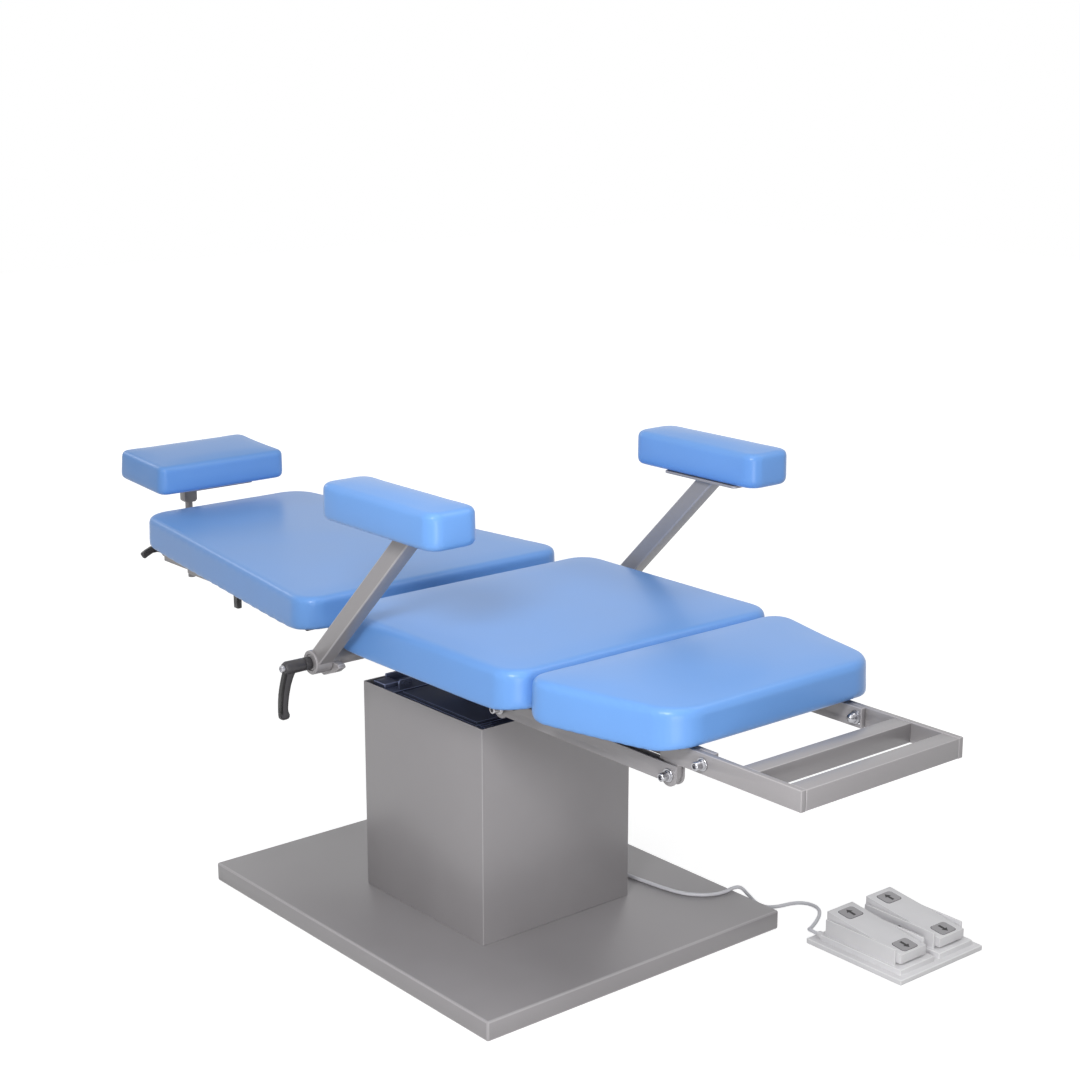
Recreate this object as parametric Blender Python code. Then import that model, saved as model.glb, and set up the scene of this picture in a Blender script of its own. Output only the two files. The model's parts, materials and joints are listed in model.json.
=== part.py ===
"""Ear, nose and throat examination chair, laid flat.

A base plate and a shrouded lifting column carry the seat frame. One drive under the seat turns the
back, a sync rod turns the leg section with it, and two links keep the footrest level. The arm rests
turn on the back's hinge shaft, the headrest rides on a bar under the back, and a twin foot pedal
stands on the floor at the end of its cord.

Metres, +Z up, +Y towards the head, origin on the floor under the middle of the base plate.
The sitter's left is +X.
"""

import math

import bmesh
import bpy
from mathutils import Matrix, Vector

# Fits between pieces
TOUCH = 0.0003
TURNING = 0.0004
SLIDING = 0.0003
COLUMN_PLAY = 0.0005
SIDE_PLAY = 0.001
LINK_PLAY = 0.0008
FUSE = 0.001

# Base plate and shroud
BASE_WIDTH = 0.600
BASE_LENGTH = 0.750
BASE_THICKNESS = 0.032
COLUMN_Y = -0.0185
SHROUD_WIDTH = 0.302
SHROUD_LENGTH = 0.313
SHROUD_TOP = 0.388
SHROUD_WALL = 0.002

# Lifting column
COLUMN_WIDTH = 0.150
COLUMN_WALL = 0.005
COLUMN_TOP = 0.335
COLUMN_FLANGE_WIDTH = 0.220
COLUMN_FLANGE_THICKNESS = 0.008
INNER_WALL = 0.004
INNER_LOW = 0.060
HEAD_FLANGE_WIDTH = 0.244
HEAD_FLANGE_THICKNESS = 0.006
ACTUATOR_DIAMETER = 0.060
ACTUATOR_TOP = 0.330
ACTUATOR_FLOOR = 0.010
LIFT_ROD_DIAMETER = 0.030
LIFT_ROD_LOW = 0.070
LIFT_ROD_PLAY = 0.0008
CONTROL_BOX_DEPTH = 0.036
CONTROL_BOX_LENGTH = 0.150
CONTROL_BOX_HEIGHT = 0.127
CONTROL_BOX_Y = -0.015

# Saddle on top of the column
SADDLE_WIDTH = 0.228
SADDLE_THICKNESS = 0.008
SADDLE_TOP = 0.3798
SADDLE_FOOT_Y = -0.128
SADDLE_HEAD_Y = 0.081
SADDLE_RIB_X = 0.054
SADDLE_RIB_THICKNESS = 0.008
SADDLE_RIB_FOOT_Y = -0.120
SADDLE_RIB_HEAD_Y = 0.0

# Frame bars, and the hinge points as (y, z)
FRAME_BAR_HEIGHT = 0.030
HINGE = (0.045, 0.4735)
FOOTREST_PIVOT = (-0.659, 0.4735)
LINK_FOOT_PIVOT = (-0.5975, 0.441)
LINK_SEAT_PIVOT = (-0.234, 0.441)
PIVOT_PIN_DIAMETER = 0.010

# Seat frame
SEAT_RAIL_X = 0.125
SEAT_RAIL_THICKNESS = 0.015
SEAT_RAIL_HEAD_Y = 0.070
SEAT_CROSS_WIDTH = 0.030
SEAT_CROSS_FRONT_Y = -0.100
SEAT_CROSS_REAR_Y = -0.019
LINK_LUG_RADIUS = 0.014
LINK_LUG_BLOCK_LENGTH = 0.032
LINK_LUG_BLOCK_LIFT = 0.002
HINGE_SHAFT_DIAMETER = 0.025
SHAFT_RECESS = 0.0011
SHAFT_STUB_DIAMETER = 0.010
SHAFT_STUB_LENGTH = 0.018
STOP_COLLAR_GAP = 0.0015
STOP_COLLAR_WIDTH = 0.014
STOP_COLLAR_DIAMETER = 0.034

# Boards and cushions
BOARD_THICKNESS = 0.0025
BOARD_INSET = 0.024
CUSHION_WAIST = 0.0025
CUSHION_CROWN = 0.004
SEAT_FOOT_Y = -0.390
SEAT_HEAD_Y = 0.067
SEAT_HALF_WIDTH = 0.267
SEAT_TOP = 0.551
SEAT_CORNER = 0.046
SEAT_TOP_EDGE = 0.020
SEAT_LOW_EDGE = 0.006
LEG_FOOT_Y = -0.6545
LEG_HEAD_Y = -0.3915
LEG_FOOT_HALF_WIDTH = 0.198
LEG_HEAD_HALF_WIDTH = 0.264
LEG_TOP = 0.5505
LEG_CORNER = 0.047
LEG_TOP_EDGE = 0.018
LEG_LOW_EDGE = 0.018
BACK_FOOT_Y = 0.122
BACK_HEAD_Y = 0.823
BACK_FOOT_HALF_WIDTH = 0.276
BACK_HEAD_HALF_WIDTH = 0.177
BACK_TOP = 0.547
BACK_CORNER = 0.049
BACK_TOP_EDGE = 0.012
BACK_LOW_EDGE = 0.006

# Drive, cranks and sync rod
CRANK_LENGTH = 0.070
CRANK_ANGLE = math.radians(37.5)
CRANK_X = 0.0045
CRANK_THICKNESS = 0.006
CRANK_EYE_RADIUS = 0.012
SYNC_ROD_THICKNESS = 0.006
SYNC_ROD_HEIGHT = 0.020
SYNC_ROD_GAP = 0.002
SYNC_EYE_PLAY = 0.0006
DRIVE_X = -0.012
DRIVE_Z = 0.411
DRIVE_BODY_DIAMETER = 0.040
DRIVE_BODY_FOOT_Y = -0.165
DRIVE_BODY_LENGTH = 0.129
DRIVE_FOOT_WIDTH = 0.016
DRIVE_FOOT_LENGTH = 0.060
DRIVE_ROD_DIAMETER = 0.020
DRIVE_ROD_FOOT_Y = -0.150
DRIVE_ROD_SPARE = 0.005
YOKE_THICKNESS = 0.024
YOKE_LENGTH = 0.025
YOKE_HEIGHT = 0.042
YOKE_SLOT_LENGTH = 0.0136
YOKE_SLOT_HEIGHT = 0.027
CRANK_PIN_OVERHANG = 0.002
CRANK_PIN_END_X = 0.020

# Back frame
BACK_TUBE_DIAMETER = 0.030
BACK_TUBE_LENGTH = 0.224
BACK_RAIL_X = 0.090
BACK_RAIL_THICKNESS = 0.015
BACK_RAIL_FOOT_Y = 0.033
BACK_RAIL_HEAD_Y = 0.780
BACK_CROSS_LENGTH = 0.240
BACK_CROSS_WIDTH = 0.030
BACK_CROSS_LOWER_Y = 0.215
BACK_CROSS_UPPER_Y = 0.727

# Leg section, footrest and links
LEG_BAR_THICKNESS = 0.008
LEG_BAR_OVERHANG = 0.012
LEG_CROSS_Y = -0.335
LEG_CROSS_WIDTH = 0.030
FOOTREST_BAR_THICKNESS = 0.009
FOOTREST_FOOT_Y = -0.837
FOOTREST_HEAD_Y = -0.5765
FOOTREST_TUBE = 0.029
FOOTREST_TUBE_WALL = 0.002
FOOTREST_INNER_TUBE_Y = -0.739
LINK_SHEET = 0.0025
LINK_EYE_RADIUS = 0.016
LINK_DEPTH = 0.027
LINK_WEB_SETBACK_FOOT = 0.060
LINK_WEB_SETBACK_SEAT = 0.030
WASHER_RADIUS = 0.010
WASHER_THICKNESS = 0.002
BOLT_HEAD_RADIUS = 0.008
BOLT_HEAD_HEIGHT = 0.008
BOLT_HEAD_CHAMFER = 0.0025

# Arm rests
ARM_TUBE = 0.027
ARM_TUBE_INSET = 0.0166
ARM_HUB_DIAMETER = 0.038
ARM_HUB_LENGTH = 0.030
ARM_PLATE_FOOT_Y = -0.284
ARM_PLATE_HEAD_Y = -0.124
ARM_PLATE_INSET = 0.0141
ARM_PLATE_WIDTH = 0.066
ARM_PLATE_THICKNESS = 0.0037
ARM_PAD_INSET = 0.0041
ARM_PAD_FOOT_Y = -0.328
ARM_PAD_HEAD_Y = -0.046
ARM_PAD_HALF_WIDTH = 0.046
ARM_PAD_TOP = 0.7805
ARM_PAD_THICKNESS = 0.056
ARM_PAD_CORNER = 0.024
ARM_PAD_EDGE = 0.012
ARM_LEVER_COLLAR_RADIUS = 0.009
ARM_LEVER_COLLAR_LENGTH = 0.0476
ARM_LEVER_REACH = 0.081
ARM_LEVER_LEAN = 0.010
ARM_LEVER_ROOT = 0.022
ARM_LEVER_NECK = 0.013
ARM_LEVER_HOOK = 0.0165
ARM_LEVER_HOOK_HEIGHT = 0.013
ARM_LEVER_THICKNESS = 0.011

# Headrest
GUIDE_WIDTH = 0.037
GUIDE_LENGTH = 0.060
GUIDE_Y = 0.727
GUIDE_LOW = 0.380
HEAD_BAR = 0.025
HEAD_BAR_LOW = 0.386
HEAD_BAR_FOOT_Y = 0.600
HEAD_BAR_HEAD_Y = 1.034
POST_Y = 0.948
POST_DIAMETER = 0.0145
POST_LOW = 0.369
POST_BLOCK_WIDTH = 0.027
POST_BLOCK_LENGTH = 0.019
POST_BLOCK_LOW = 0.5215
POST_BLOCK_CHAMFER = 0.004
TILT_Z = 0.556
TILT_ANGLE = math.radians(3.6)
TILT_PIN_DIAMETER = 0.008
TILT_PIN_LENGTH = 0.038
BRACKET_SHEET = 0.004
BRACKET_RISE = 0.022
BRACKET_EAR_RADIUS = 0.009
BRACKET_PLATE_LENGTH = 0.132
BRACKET_PLATE_WIDTH = 0.140
HEAD_CENTRE_Y = -0.0557
HEAD_LENGTH = 0.168
HEAD_HALF_WIDTH = 0.138
HEAD_THICKNESS = 0.056
HEAD_CORNER = 0.017
HEAD_EDGE = 0.013
HEAD_LEVER_THICKNESS = 0.008
HEAD_LEVER_BOSS_RADIUS = 0.009
HEAD_LEVER_TIP_RADIUS = 0.005
HEAD_LEVER_STANDOFF = 0.008
POST_LEVER_TIP = (-0.046, 0.405)
BAR_LEVER_REACH = 0.035

# Foot pedal
PEDAL_X = 0.393
PEDAL_Y = -0.5395
PEDAL_WIDTH = 0.196
PEDAL_LENGTH = 0.196
PEDAL_FLANGE = 0.009
PEDAL_TIER = 0.009
PEDAL_TIER_WIDTH = 0.080
PEDAL_TIER_FOOT_Y = -0.626
PEDAL_TIER_HEAD_Y = -0.460
PEDAL_UNIT_SPACING = 0.092
CHEEK_THICKNESS = 0.004
CHEEK_SPAN = 0.070
CHEEK_FOOT_Y = -0.609
CHEEK_HEAD_Y = -0.466
CHEEK_TOP = 0.045
ROCKER_WIDTH = 0.059
ROCKER_FOOT_Y = -0.617
ROCKER_HEAD_Y = -0.4635
ROCKER_LOW = 0.0218
ROCKER_FOOT_TOP = 0.037
ROCKER_HEAD_TOP = 0.0565
PEDAL_AXLE_DIAMETER = 0.006
PEDAL_AXLE_Y = -0.540
PEDAL_AXLE_Z = 0.031
PEDAL_AXLE_OVERHANG = 0.002

# Cord and its glands
CORD_DIAMETER = 0.006
CORD_POINT_SPACING = 0.015
GLAND_Y = -0.060
GLAND_Z = 0.050
GLAND_RADIUS = 0.009
GLAND_MOUTH_RADIUS = 0.0055
GLAND_LENGTH = 0.015
PEDAL_GLAND_X = 0.3125
PEDAL_GLAND_Z = 0.0145
PEDAL_GLAND_Y = -0.452
CORD_LEAD = 0.010
CORD_ROUTE = (
    (0.187, -0.069, 0.0445), (0.195, -0.086, 0.0385), (0.2005, -0.108, 0.0358),
    (0.203, -0.135, 0.0353), (0.207, -0.165, 0.0353), (0.2125, -0.200, 0.0353),
    (0.221, -0.230, 0.0353), (0.2365, -0.253, 0.0353), (0.258, -0.268, 0.0353),
    (0.282, -0.2725, 0.0353), (0.298, -0.272, 0.0362), (0.312, -0.275, 0.0345),
    (0.324, -0.282, 0.021), (0.332, -0.294, 0.008), (0.340, -0.308, 0.0036),
    (0.352, -0.318, 0.0034), (0.367, -0.323, 0.0034), (0.384, -0.3275, 0.0034),
    (0.398, -0.337, 0.0034), (0.4045, -0.353, 0.0034), (0.400, -0.371, 0.0034),
    (0.387, -0.385, 0.0034), (0.369, -0.397, 0.0034), (0.350, -0.407, 0.0036),
    (0.333, -0.4155, 0.0055), (0.321, -0.4235, 0.0100), (0.3145, -0.432, 0.0136),
)

# Facets
ROUND_SIDES = 20
FINE_SIDES = 12
ARC_STEPS = 6

SIDES = (("right", -1.0), ("left", 1.0))
LINK_SIDE = SIDES[0]

# Places worked out from the sizes above
FRAME_TOP = HINGE[1] + FRAME_BAR_HEIGHT / 2
FRAME_LOW = HINGE[1] - FRAME_BAR_HEIGHT / 2
BOARD_LOW = FRAME_TOP + TOUCH
CUSHION_LOW = BOARD_LOW + BOARD_THICKNESS + TOUCH
LEG_PIVOT = (FOOTREST_PIVOT[0] + LINK_SEAT_PIVOT[0] - LINK_FOOT_PIVOT[0], HINGE[1])
CRANK_PIN = (-CRANK_LENGTH * math.sin(CRANK_ANGLE), -CRANK_LENGTH * math.cos(CRANK_ANGLE))
BACK_PIN = (HINGE[0] + CRANK_PIN[0], HINGE[1] + CRANK_PIN[1])
LEG_PIN = (LEG_PIVOT[0] + CRANK_PIN[0], LEG_PIVOT[1] + CRANK_PIN[1])
SEAT_RAIL_OUT = SEAT_RAIL_X + SEAT_RAIL_THICKNESS
LEG_BAR_X = SEAT_RAIL_OUT + TOUCH + TOUCH
LEG_BAR_OUT = LEG_BAR_X + LEG_BAR_THICKNESS
FOOTREST_BAR_X = LEG_BAR_OUT + SIDE_PLAY
FOOTREST_BAR_OUT = FOOTREST_BAR_X + FOOTREST_BAR_THICKNESS
LINK_X = FOOTREST_BAR_X - LINK_PLAY - LINK_SHEET
LINK_OUT = FOOTREST_BAR_OUT + LINK_PLAY + LINK_SHEET
STOP_COLLAR_X = SEAT_HALF_WIDTH + STOP_COLLAR_GAP
ARM_HUB_X = STOP_COLLAR_X + STOP_COLLAR_WIDTH + TOUCH + TOUCH
ARM_HUB_OUT = ARM_HUB_X + ARM_HUB_LENGTH
SHAFT_END_X = ARM_HUB_OUT - SHAFT_RECESS
ARM_TUBE_X = ARM_HUB_OUT - ARM_TUBE_INSET
ARM_PLATE_X = ARM_HUB_OUT - ARM_PLATE_INSET
ARM_PAD_X = ARM_HUB_OUT - ARM_PAD_INSET
ARM_LEVER_X = ARM_HUB_OUT + TOUCH
ARM_LEVER_END_X = ARM_LEVER_X + ARM_LEVER_COLLAR_LENGTH
ARM_PAD_LOW = ARM_PAD_TOP - ARM_PAD_THICKNESS
HEAD_BAR_Z = HEAD_BAR_LOW + HEAD_BAR / 2


def clear_scene():
    """Remove whatever objects the file holds."""
    for item in list(bpy.data.objects):
        bpy.data.objects.remove(item, do_unlink=True)


def make_material(name, colour, roughness, metallic=0.0):
    """A Principled material of one linear colour."""
    material = bpy.data.materials.new(name)
    material.use_nodes = True
    shader = material.node_tree.nodes["Principled BSDF"]
    shader.inputs["Base Color"].default_value = (*colour, 1.0)
    shader.inputs["Roughness"].default_value = roughness
    shader.inputs["Metallic"].default_value = metallic
    material.diffuse_color = (*colour, 1.0)
    return material


class Body:
    """An empty on a joint's axis, which carries the pieces that move together."""

    def __init__(self, name, pivot, parent=None, tilt=0.0):
        self.pivot = Vector(pivot)
        self.empty = bpy.data.objects.new(name, None)
        bpy.context.collection.objects.link(self.empty)
        self.empty.location = self.pivot
        if parent:
            self.empty.parent = parent.empty
            self.empty.location = self.pivot - parent.pivot
        self.empty.rotation_euler.x = tilt

    def add(self, name, solid, material):
        """Hang a solid, modelled in the chair's frame, on this body as a named object."""
        bmesh.ops.remove_doubles(solid, verts=solid.verts, dist=1e-6)
        bmesh.ops.recalc_face_normals(solid, faces=solid.faces)
        bmesh.ops.translate(solid, verts=solid.verts, vec=-self.pivot)
        mesh = bpy.data.meshes.new(name)
        solid.to_mesh(mesh)
        solid.free()
        mesh.materials.append(material)
        mesh.shade_smooth()
        mesh.set_sharp_from_angle(angle=math.radians(35))
        piece = bpy.data.objects.new(name, mesh)
        bpy.context.collection.objects.link(piece)
        piece.parent = self.empty


def span(side, near, far):
    """The X range of a piece between two distances from the middle, on one side."""
    return tuple(sorted((side * near, side * far)))


def about(middle, width):
    """A range of a given width about its middle."""
    return (middle - width / 2, middle + width / 2)


def box(x_range, y_range, z_range):
    """A box between three pairs of limits."""
    limits = (x_range, y_range, z_range)
    middle = [(low + high) / 2 for low, high in limits]
    size = [high - low for low, high in limits]
    solid = bmesh.new()
    matrix = Matrix.Translation(middle) @ Matrix.Diagonal((*size, 1.0))
    bmesh.ops.create_cube(solid, size=1.0, matrix=matrix)
    return solid


def on_axis(axis, u, v, along):
    """A point from its place across an axis, (y, z), (x, z) or (x, y), and its place along it."""
    return {"X": (along, u, v), "Y": (u, along, v), "Z": (u, v, along)}[axis]


def prism(axis, outline, limits):
    """An outline across an axis, extruded between two limits along it."""
    start, end = limits
    solid = bmesh.new()
    ring = [solid.verts.new(on_axis(axis, u, v, start)) for u, v in outline]
    grown = bmesh.ops.extrude_face_region(solid, geom=[solid.faces.new(ring)])
    moved = [item for item in grown["geom"] if isinstance(item, bmesh.types.BMVert)]
    bmesh.ops.translate(solid, verts=moved, vec=on_axis(axis, 0.0, 0.0, end - start))
    bmesh.ops.recalc_face_normals(solid, faces=solid.faces)
    return solid


def arc(centre, radius, start, end, steps):
    """Points along an arc, both ends included."""
    turns = [start + (end - start) * step / steps for step in range(steps + 1)]
    return [(centre[0] + radius * math.cos(turn), centre[1] + radius * math.sin(turn)) for turn in turns]


def cylinder(axis, centre, radius, limits, sides=ROUND_SIDES):
    """A round bar along an axis."""
    full_turn = arc(centre, radius, 0.0, 2 * math.pi, sides)
    return prism(axis, full_turn[:-1], limits)


def strap(first, second, first_radius, second_radius):
    """The outline of a belt round two circles."""
    run = Vector(second) - Vector(first)
    heading = math.atan2(run.y, run.x)
    lean = math.acos((first_radius - second_radius) / run.length)
    far = arc(second, second_radius, heading - lean, heading + lean, ARC_STEPS)
    near = arc(first, first_radius, heading + lean, heading + 2 * math.pi - lean, ARC_STEPS)
    return far + near


def turned(axis, centre, profile, sides=ROUND_SIDES):
    """A turned solid, from (place along the axis, radius) pairs."""
    solid = bmesh.new()
    rings = []
    for along, radius in profile:
        points = arc(centre, radius, 0.0, 2 * math.pi, sides)[:-1]
        rings.append([solid.verts.new(on_axis(axis, u, v, along)) for u, v in points])
    join_rings(solid, rings)
    solid.faces.new(rings[0])
    solid.faces.new(rings[-1])
    bmesh.ops.recalc_face_normals(solid, faces=solid.faces)
    return solid


def join_rings(solid, rings):
    """Quads between each closed ring of points and the next."""
    for lower, upper in zip(rings, rings[1:]):
        count = len(lower)
        for place in range(count):
            after = (place + 1) % count
            solid.faces.new((lower[place], lower[after], upper[after], upper[place]))


def as_object(solid):
    """A passing object that holds a solid for a Boolean."""
    mesh = bpy.data.meshes.new("passing")
    solid.to_mesh(mesh)
    solid.free()
    item = bpy.data.objects.new("passing", mesh)
    bpy.context.collection.objects.link(item)
    return item


def combine(operation, first, others):
    """One solid joined with, or cut by, each of the others."""
    subject = as_object(first)
    tools = [as_object(other) for other in others]
    for tool in tools:
        boolean = subject.modifiers.new(operation, "BOOLEAN")
        boolean.operation = operation
        boolean.solver = "EXACT"
        boolean.object = tool
    result = bmesh.new()
    result.from_object(subject, bpy.context.evaluated_depsgraph_get())
    for item in (subject, *tools):
        mesh = item.data
        bpy.data.objects.remove(item, do_unlink=True)
        bpy.data.meshes.remove(mesh)
    return result


def join(first, *others):
    """The union of solids that overlap."""
    return combine("UNION", first, others)


def cut(first, *others):
    """A solid with others taken out of it."""
    return combine("DIFFERENCE", first, others)


def corner_arcs(foot_y, head_y, foot_half, head_half, radius):
    """Arc centres and outward turns at the four corners of a tapered outline, anticlockwise."""
    slope = math.atan2(foot_half - head_half, head_y - foot_y)
    shift = math.tan(math.pi / 4 - slope / 2)
    reach = math.tan(math.pi / 4 + slope / 2)
    foot_x = foot_half - radius * reach
    head_x = head_half - radius * shift
    right_side = slope
    left_side = math.pi - slope
    return (
        ((-foot_x, foot_y + radius), left_side, 1.5 * math.pi),
        ((foot_x, foot_y + radius), -0.5 * math.pi, right_side),
        ((head_x, head_y - radius), right_side, 0.5 * math.pi),
        ((-head_x, head_y - radius), 0.5 * math.pi, left_side),
    )


def cushion_ring(solid, corners, radius, height, middle_x):
    """A ring of points round a tapered outline, with two points along each straight side."""
    arcs = [arc(centre, radius, start, end, ARC_STEPS) for centre, start, end in corners]
    points = []
    for place, bend in enumerate(arcs):
        following = arcs[(place + 1) % len(arcs)][0]
        points += bend
        for share in (1 / 3, 2 / 3):
            along_x = bend[-1][0] + share * (following[0] - bend[-1][0])
            along_y = bend[-1][1] + share * (following[1] - bend[-1][1])
            points.append((along_x, along_y))
    return [solid.verts.new((x + middle_x, y, height)) for x, y in points]


def cushion(y_range, half_widths, z_range, corner, top_edge, low_edge, middle_x=0.0):
    """A padded block: tapered outline, rounded edges, drawn-in sides and a crowned top."""
    low, top = z_range
    corners = corner_arcs(*y_range, *half_widths, corner)
    solid = bmesh.new()
    profile = []
    for turn in (0.0, 0.25, 0.5):
        lean = turn * math.pi
        profile.append((low_edge * (1 - math.sin(lean)), low + low_edge * (1 - math.cos(lean))))
    profile.append((CUSHION_WAIST, (low + low_edge + top - top_edge) / 2))
    for turn in (0.0, 0.125, 0.25, 0.375, 0.5):
        lean = turn * math.pi
        profile.append((top_edge * (1 - math.cos(lean)), top - top_edge * (1 - math.sin(lean))))
    rings = [cushion_ring(solid, corners, corner - inset, z, middle_x) for inset, z in profile]
    middle = Vector((middle_x, sum(y_range) / 2, 0.0))
    for share in (0.85, 0.6, 0.3):
        height = top + CUSHION_CROWN * (1 - share * share)
        ring = []
        for vert in rings[len(profile) - 1]:
            flat = middle + share * (vert.co - middle)
            ring.append(solid.verts.new((flat.x, flat.y, height)))
        rings.append(ring)
    join_rings(solid, rings)
    solid.faces.new(rings[0])
    solid.faces.new(rings[-1])
    bmesh.ops.recalc_face_normals(solid, faces=solid.faces)
    return solid


def board(y_range, half_widths):
    """A thin panel under a cushion, set in from its outline."""
    foot_y = y_range[0] + BOARD_INSET
    head_y = y_range[1] - BOARD_INSET
    foot_half = half_widths[0] - BOARD_INSET
    head_half = half_widths[1] - BOARD_INSET
    outline = ((-foot_half, foot_y), (foot_half, foot_y), (head_half, head_y), (-head_half, head_y))
    return prism("Z", outline, (BOARD_LOW, BOARD_LOW + BOARD_THICKNESS))


def pin_hole(centre, x_range):
    """A cutter for the hole that a pivot pin turns in."""
    return cylinder("X", centre, PIVOT_PIN_DIAMETER / 2 + TURNING, x_range, FINE_SIDES)


def column_square(width, z_range):
    """A square block about the lifting column's axis."""
    return box(about(0.0, width), about(COLUMN_Y, width), z_range)


def build_base(chair, looks):
    """Base plate, shroud, and the fixed half of the lifting column with its drive."""
    floor = BASE_THICKNESS + TOUCH
    plate = box(about(0.0, BASE_WIDTH), about(0.0, BASE_LENGTH), (0.0, BASE_THICKNESS))
    chair.add("base_plate", plate, looks["paint"])

    shroud_inside = SHROUD_WIDTH / 2 - SHROUD_WALL
    shell = box(about(0.0, SHROUD_WIDTH), about(COLUMN_Y, SHROUD_LENGTH), (floor, SHROUD_TOP))
    hollow_length = SHROUD_LENGTH - 2 * SHROUD_WALL
    hollow_z = (floor - FUSE, SHROUD_TOP + FUSE)
    hollow = box(about(0.0, 2 * shroud_inside), about(COLUMN_Y, hollow_length), hollow_z)
    chair.add("column_shroud", cut(shell, hollow), looks["paint"])

    flange_top = floor + COLUMN_FLANGE_THICKNESS
    flange = column_square(COLUMN_FLANGE_WIDTH, (floor, flange_top))
    tube = column_square(COLUMN_WIDTH, (flange_top - FUSE, COLUMN_TOP))
    bore = column_square(COLUMN_WIDTH - 2 * COLUMN_WALL, (flange_top, COLUMN_TOP + FUSE))
    chair.add("column_outer", cut(join(flange, tube), bore), looks["steel"])

    axis = (0.0, COLUMN_Y)
    low = flange_top + TOUCH
    barrel = cylinder("Z", axis, ACTUATOR_DIAMETER / 2, (low, ACTUATOR_TOP))
    barrel_bore_z = (low + ACTUATOR_FLOOR, ACTUATOR_TOP + FUSE)
    barrel_bore = cylinder("Z", axis, LIFT_ROD_DIAMETER / 2 + LIFT_ROD_PLAY, barrel_bore_z)
    chair.add("lift_actuator", cut(barrel, barrel_bore), looks["dark"])

    box_x = (shroud_inside - TOUCH - CONTROL_BOX_DEPTH, shroud_inside - TOUCH)
    control = box(box_x, about(CONTROL_BOX_Y, CONTROL_BOX_LENGTH), (floor, floor + CONTROL_BOX_HEIGHT))
    chair.add("control_box", control, looks["dark"])


def even_points(route, spacing):
    """Points at an even spacing along a smooth curve through the route's points."""
    knots = [Vector(point) for point in (route[0], *route, route[-1])]
    trace = []
    for before, start, end, after in zip(knots, knots[1:], knots[2:], knots[3:]):
        for step in range(20):
            share = step / 20
            bend = (2 * start - 2 * end + (end - before) / 2 + (after - start) / 2) * share ** 3
            sweep = (3 * end - 3 * start - (end - before) - (after - start) / 2) * share ** 2
            trace.append(start + (end - before) / 2 * share + sweep + bend)
    trace.append(knots[-1])
    length = sum((far - near).length for near, far in zip(trace, trace[1:]))
    count = round(length / spacing)
    points = [trace[0]]
    walked = 0.0
    for near, far in zip(trace, trace[1:]):
        step = (far - near).length
        while len(points) < count and walked + step >= len(points) * length / count:
            points.append(near.lerp(far, (len(points) * length / count - walked) / step))
        walked += step
    return points + [trace[-1]]


def build_cord(chair, looks):
    """The pedal's cord, from the gland on the shroud to the gland on the pedal."""
    start = SHROUD_WIDTH / 2 + TOUCH
    profile = (
        (start, GLAND_RADIUS),
        (start + GLAND_LENGTH / 3, GLAND_RADIUS),
        (start + GLAND_LENGTH, GLAND_MOUTH_RADIUS),
    )
    gland = turned("X", (GLAND_Y, GLAND_Z), profile, FINE_SIDES)
    chair.add("shroud_gland", gland, looks["cord"])

    first = (start + GLAND_LENGTH + TOUCH, GLAND_Y, GLAND_Z)
    last = (PEDAL_GLAND_X, PEDAL_GLAND_Y + TOUCH, PEDAL_GLAND_Z)
    lead_in = (first[0] + CORD_LEAD, first[1], first[2])
    lead_out = (last[0], last[1] + CORD_LEAD, last[2])
    points = even_points((lead_in, *CORD_ROUTE, lead_out), CORD_POINT_SPACING)
    points = [first, *points, last]
    curve = bpy.data.curves.new("cord", "CURVE")
    curve.dimensions = "3D"
    curve.bevel_depth = CORD_DIAMETER / 2
    curve.bevel_resolution = 2
    curve.use_fill_caps = True
    spline = curve.splines.new("POLY")
    spline.points.add(len(points) - 1)
    for knot, point in zip(spline.points, points):
        knot.co = (*point, 1.0)
    curve.materials.append(looks["cord"])
    cord = bpy.data.objects.new("cord", curve)
    bpy.context.collection.objects.link(cord)
    cord.parent = chair.empty


def pedal_units():
    """The name and the middle of each rocker's unit, from the chair outwards."""
    reach = PEDAL_UNIT_SPACING / 2
    return (("inner", PEDAL_X - reach), ("outer", PEDAL_X + reach))


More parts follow.
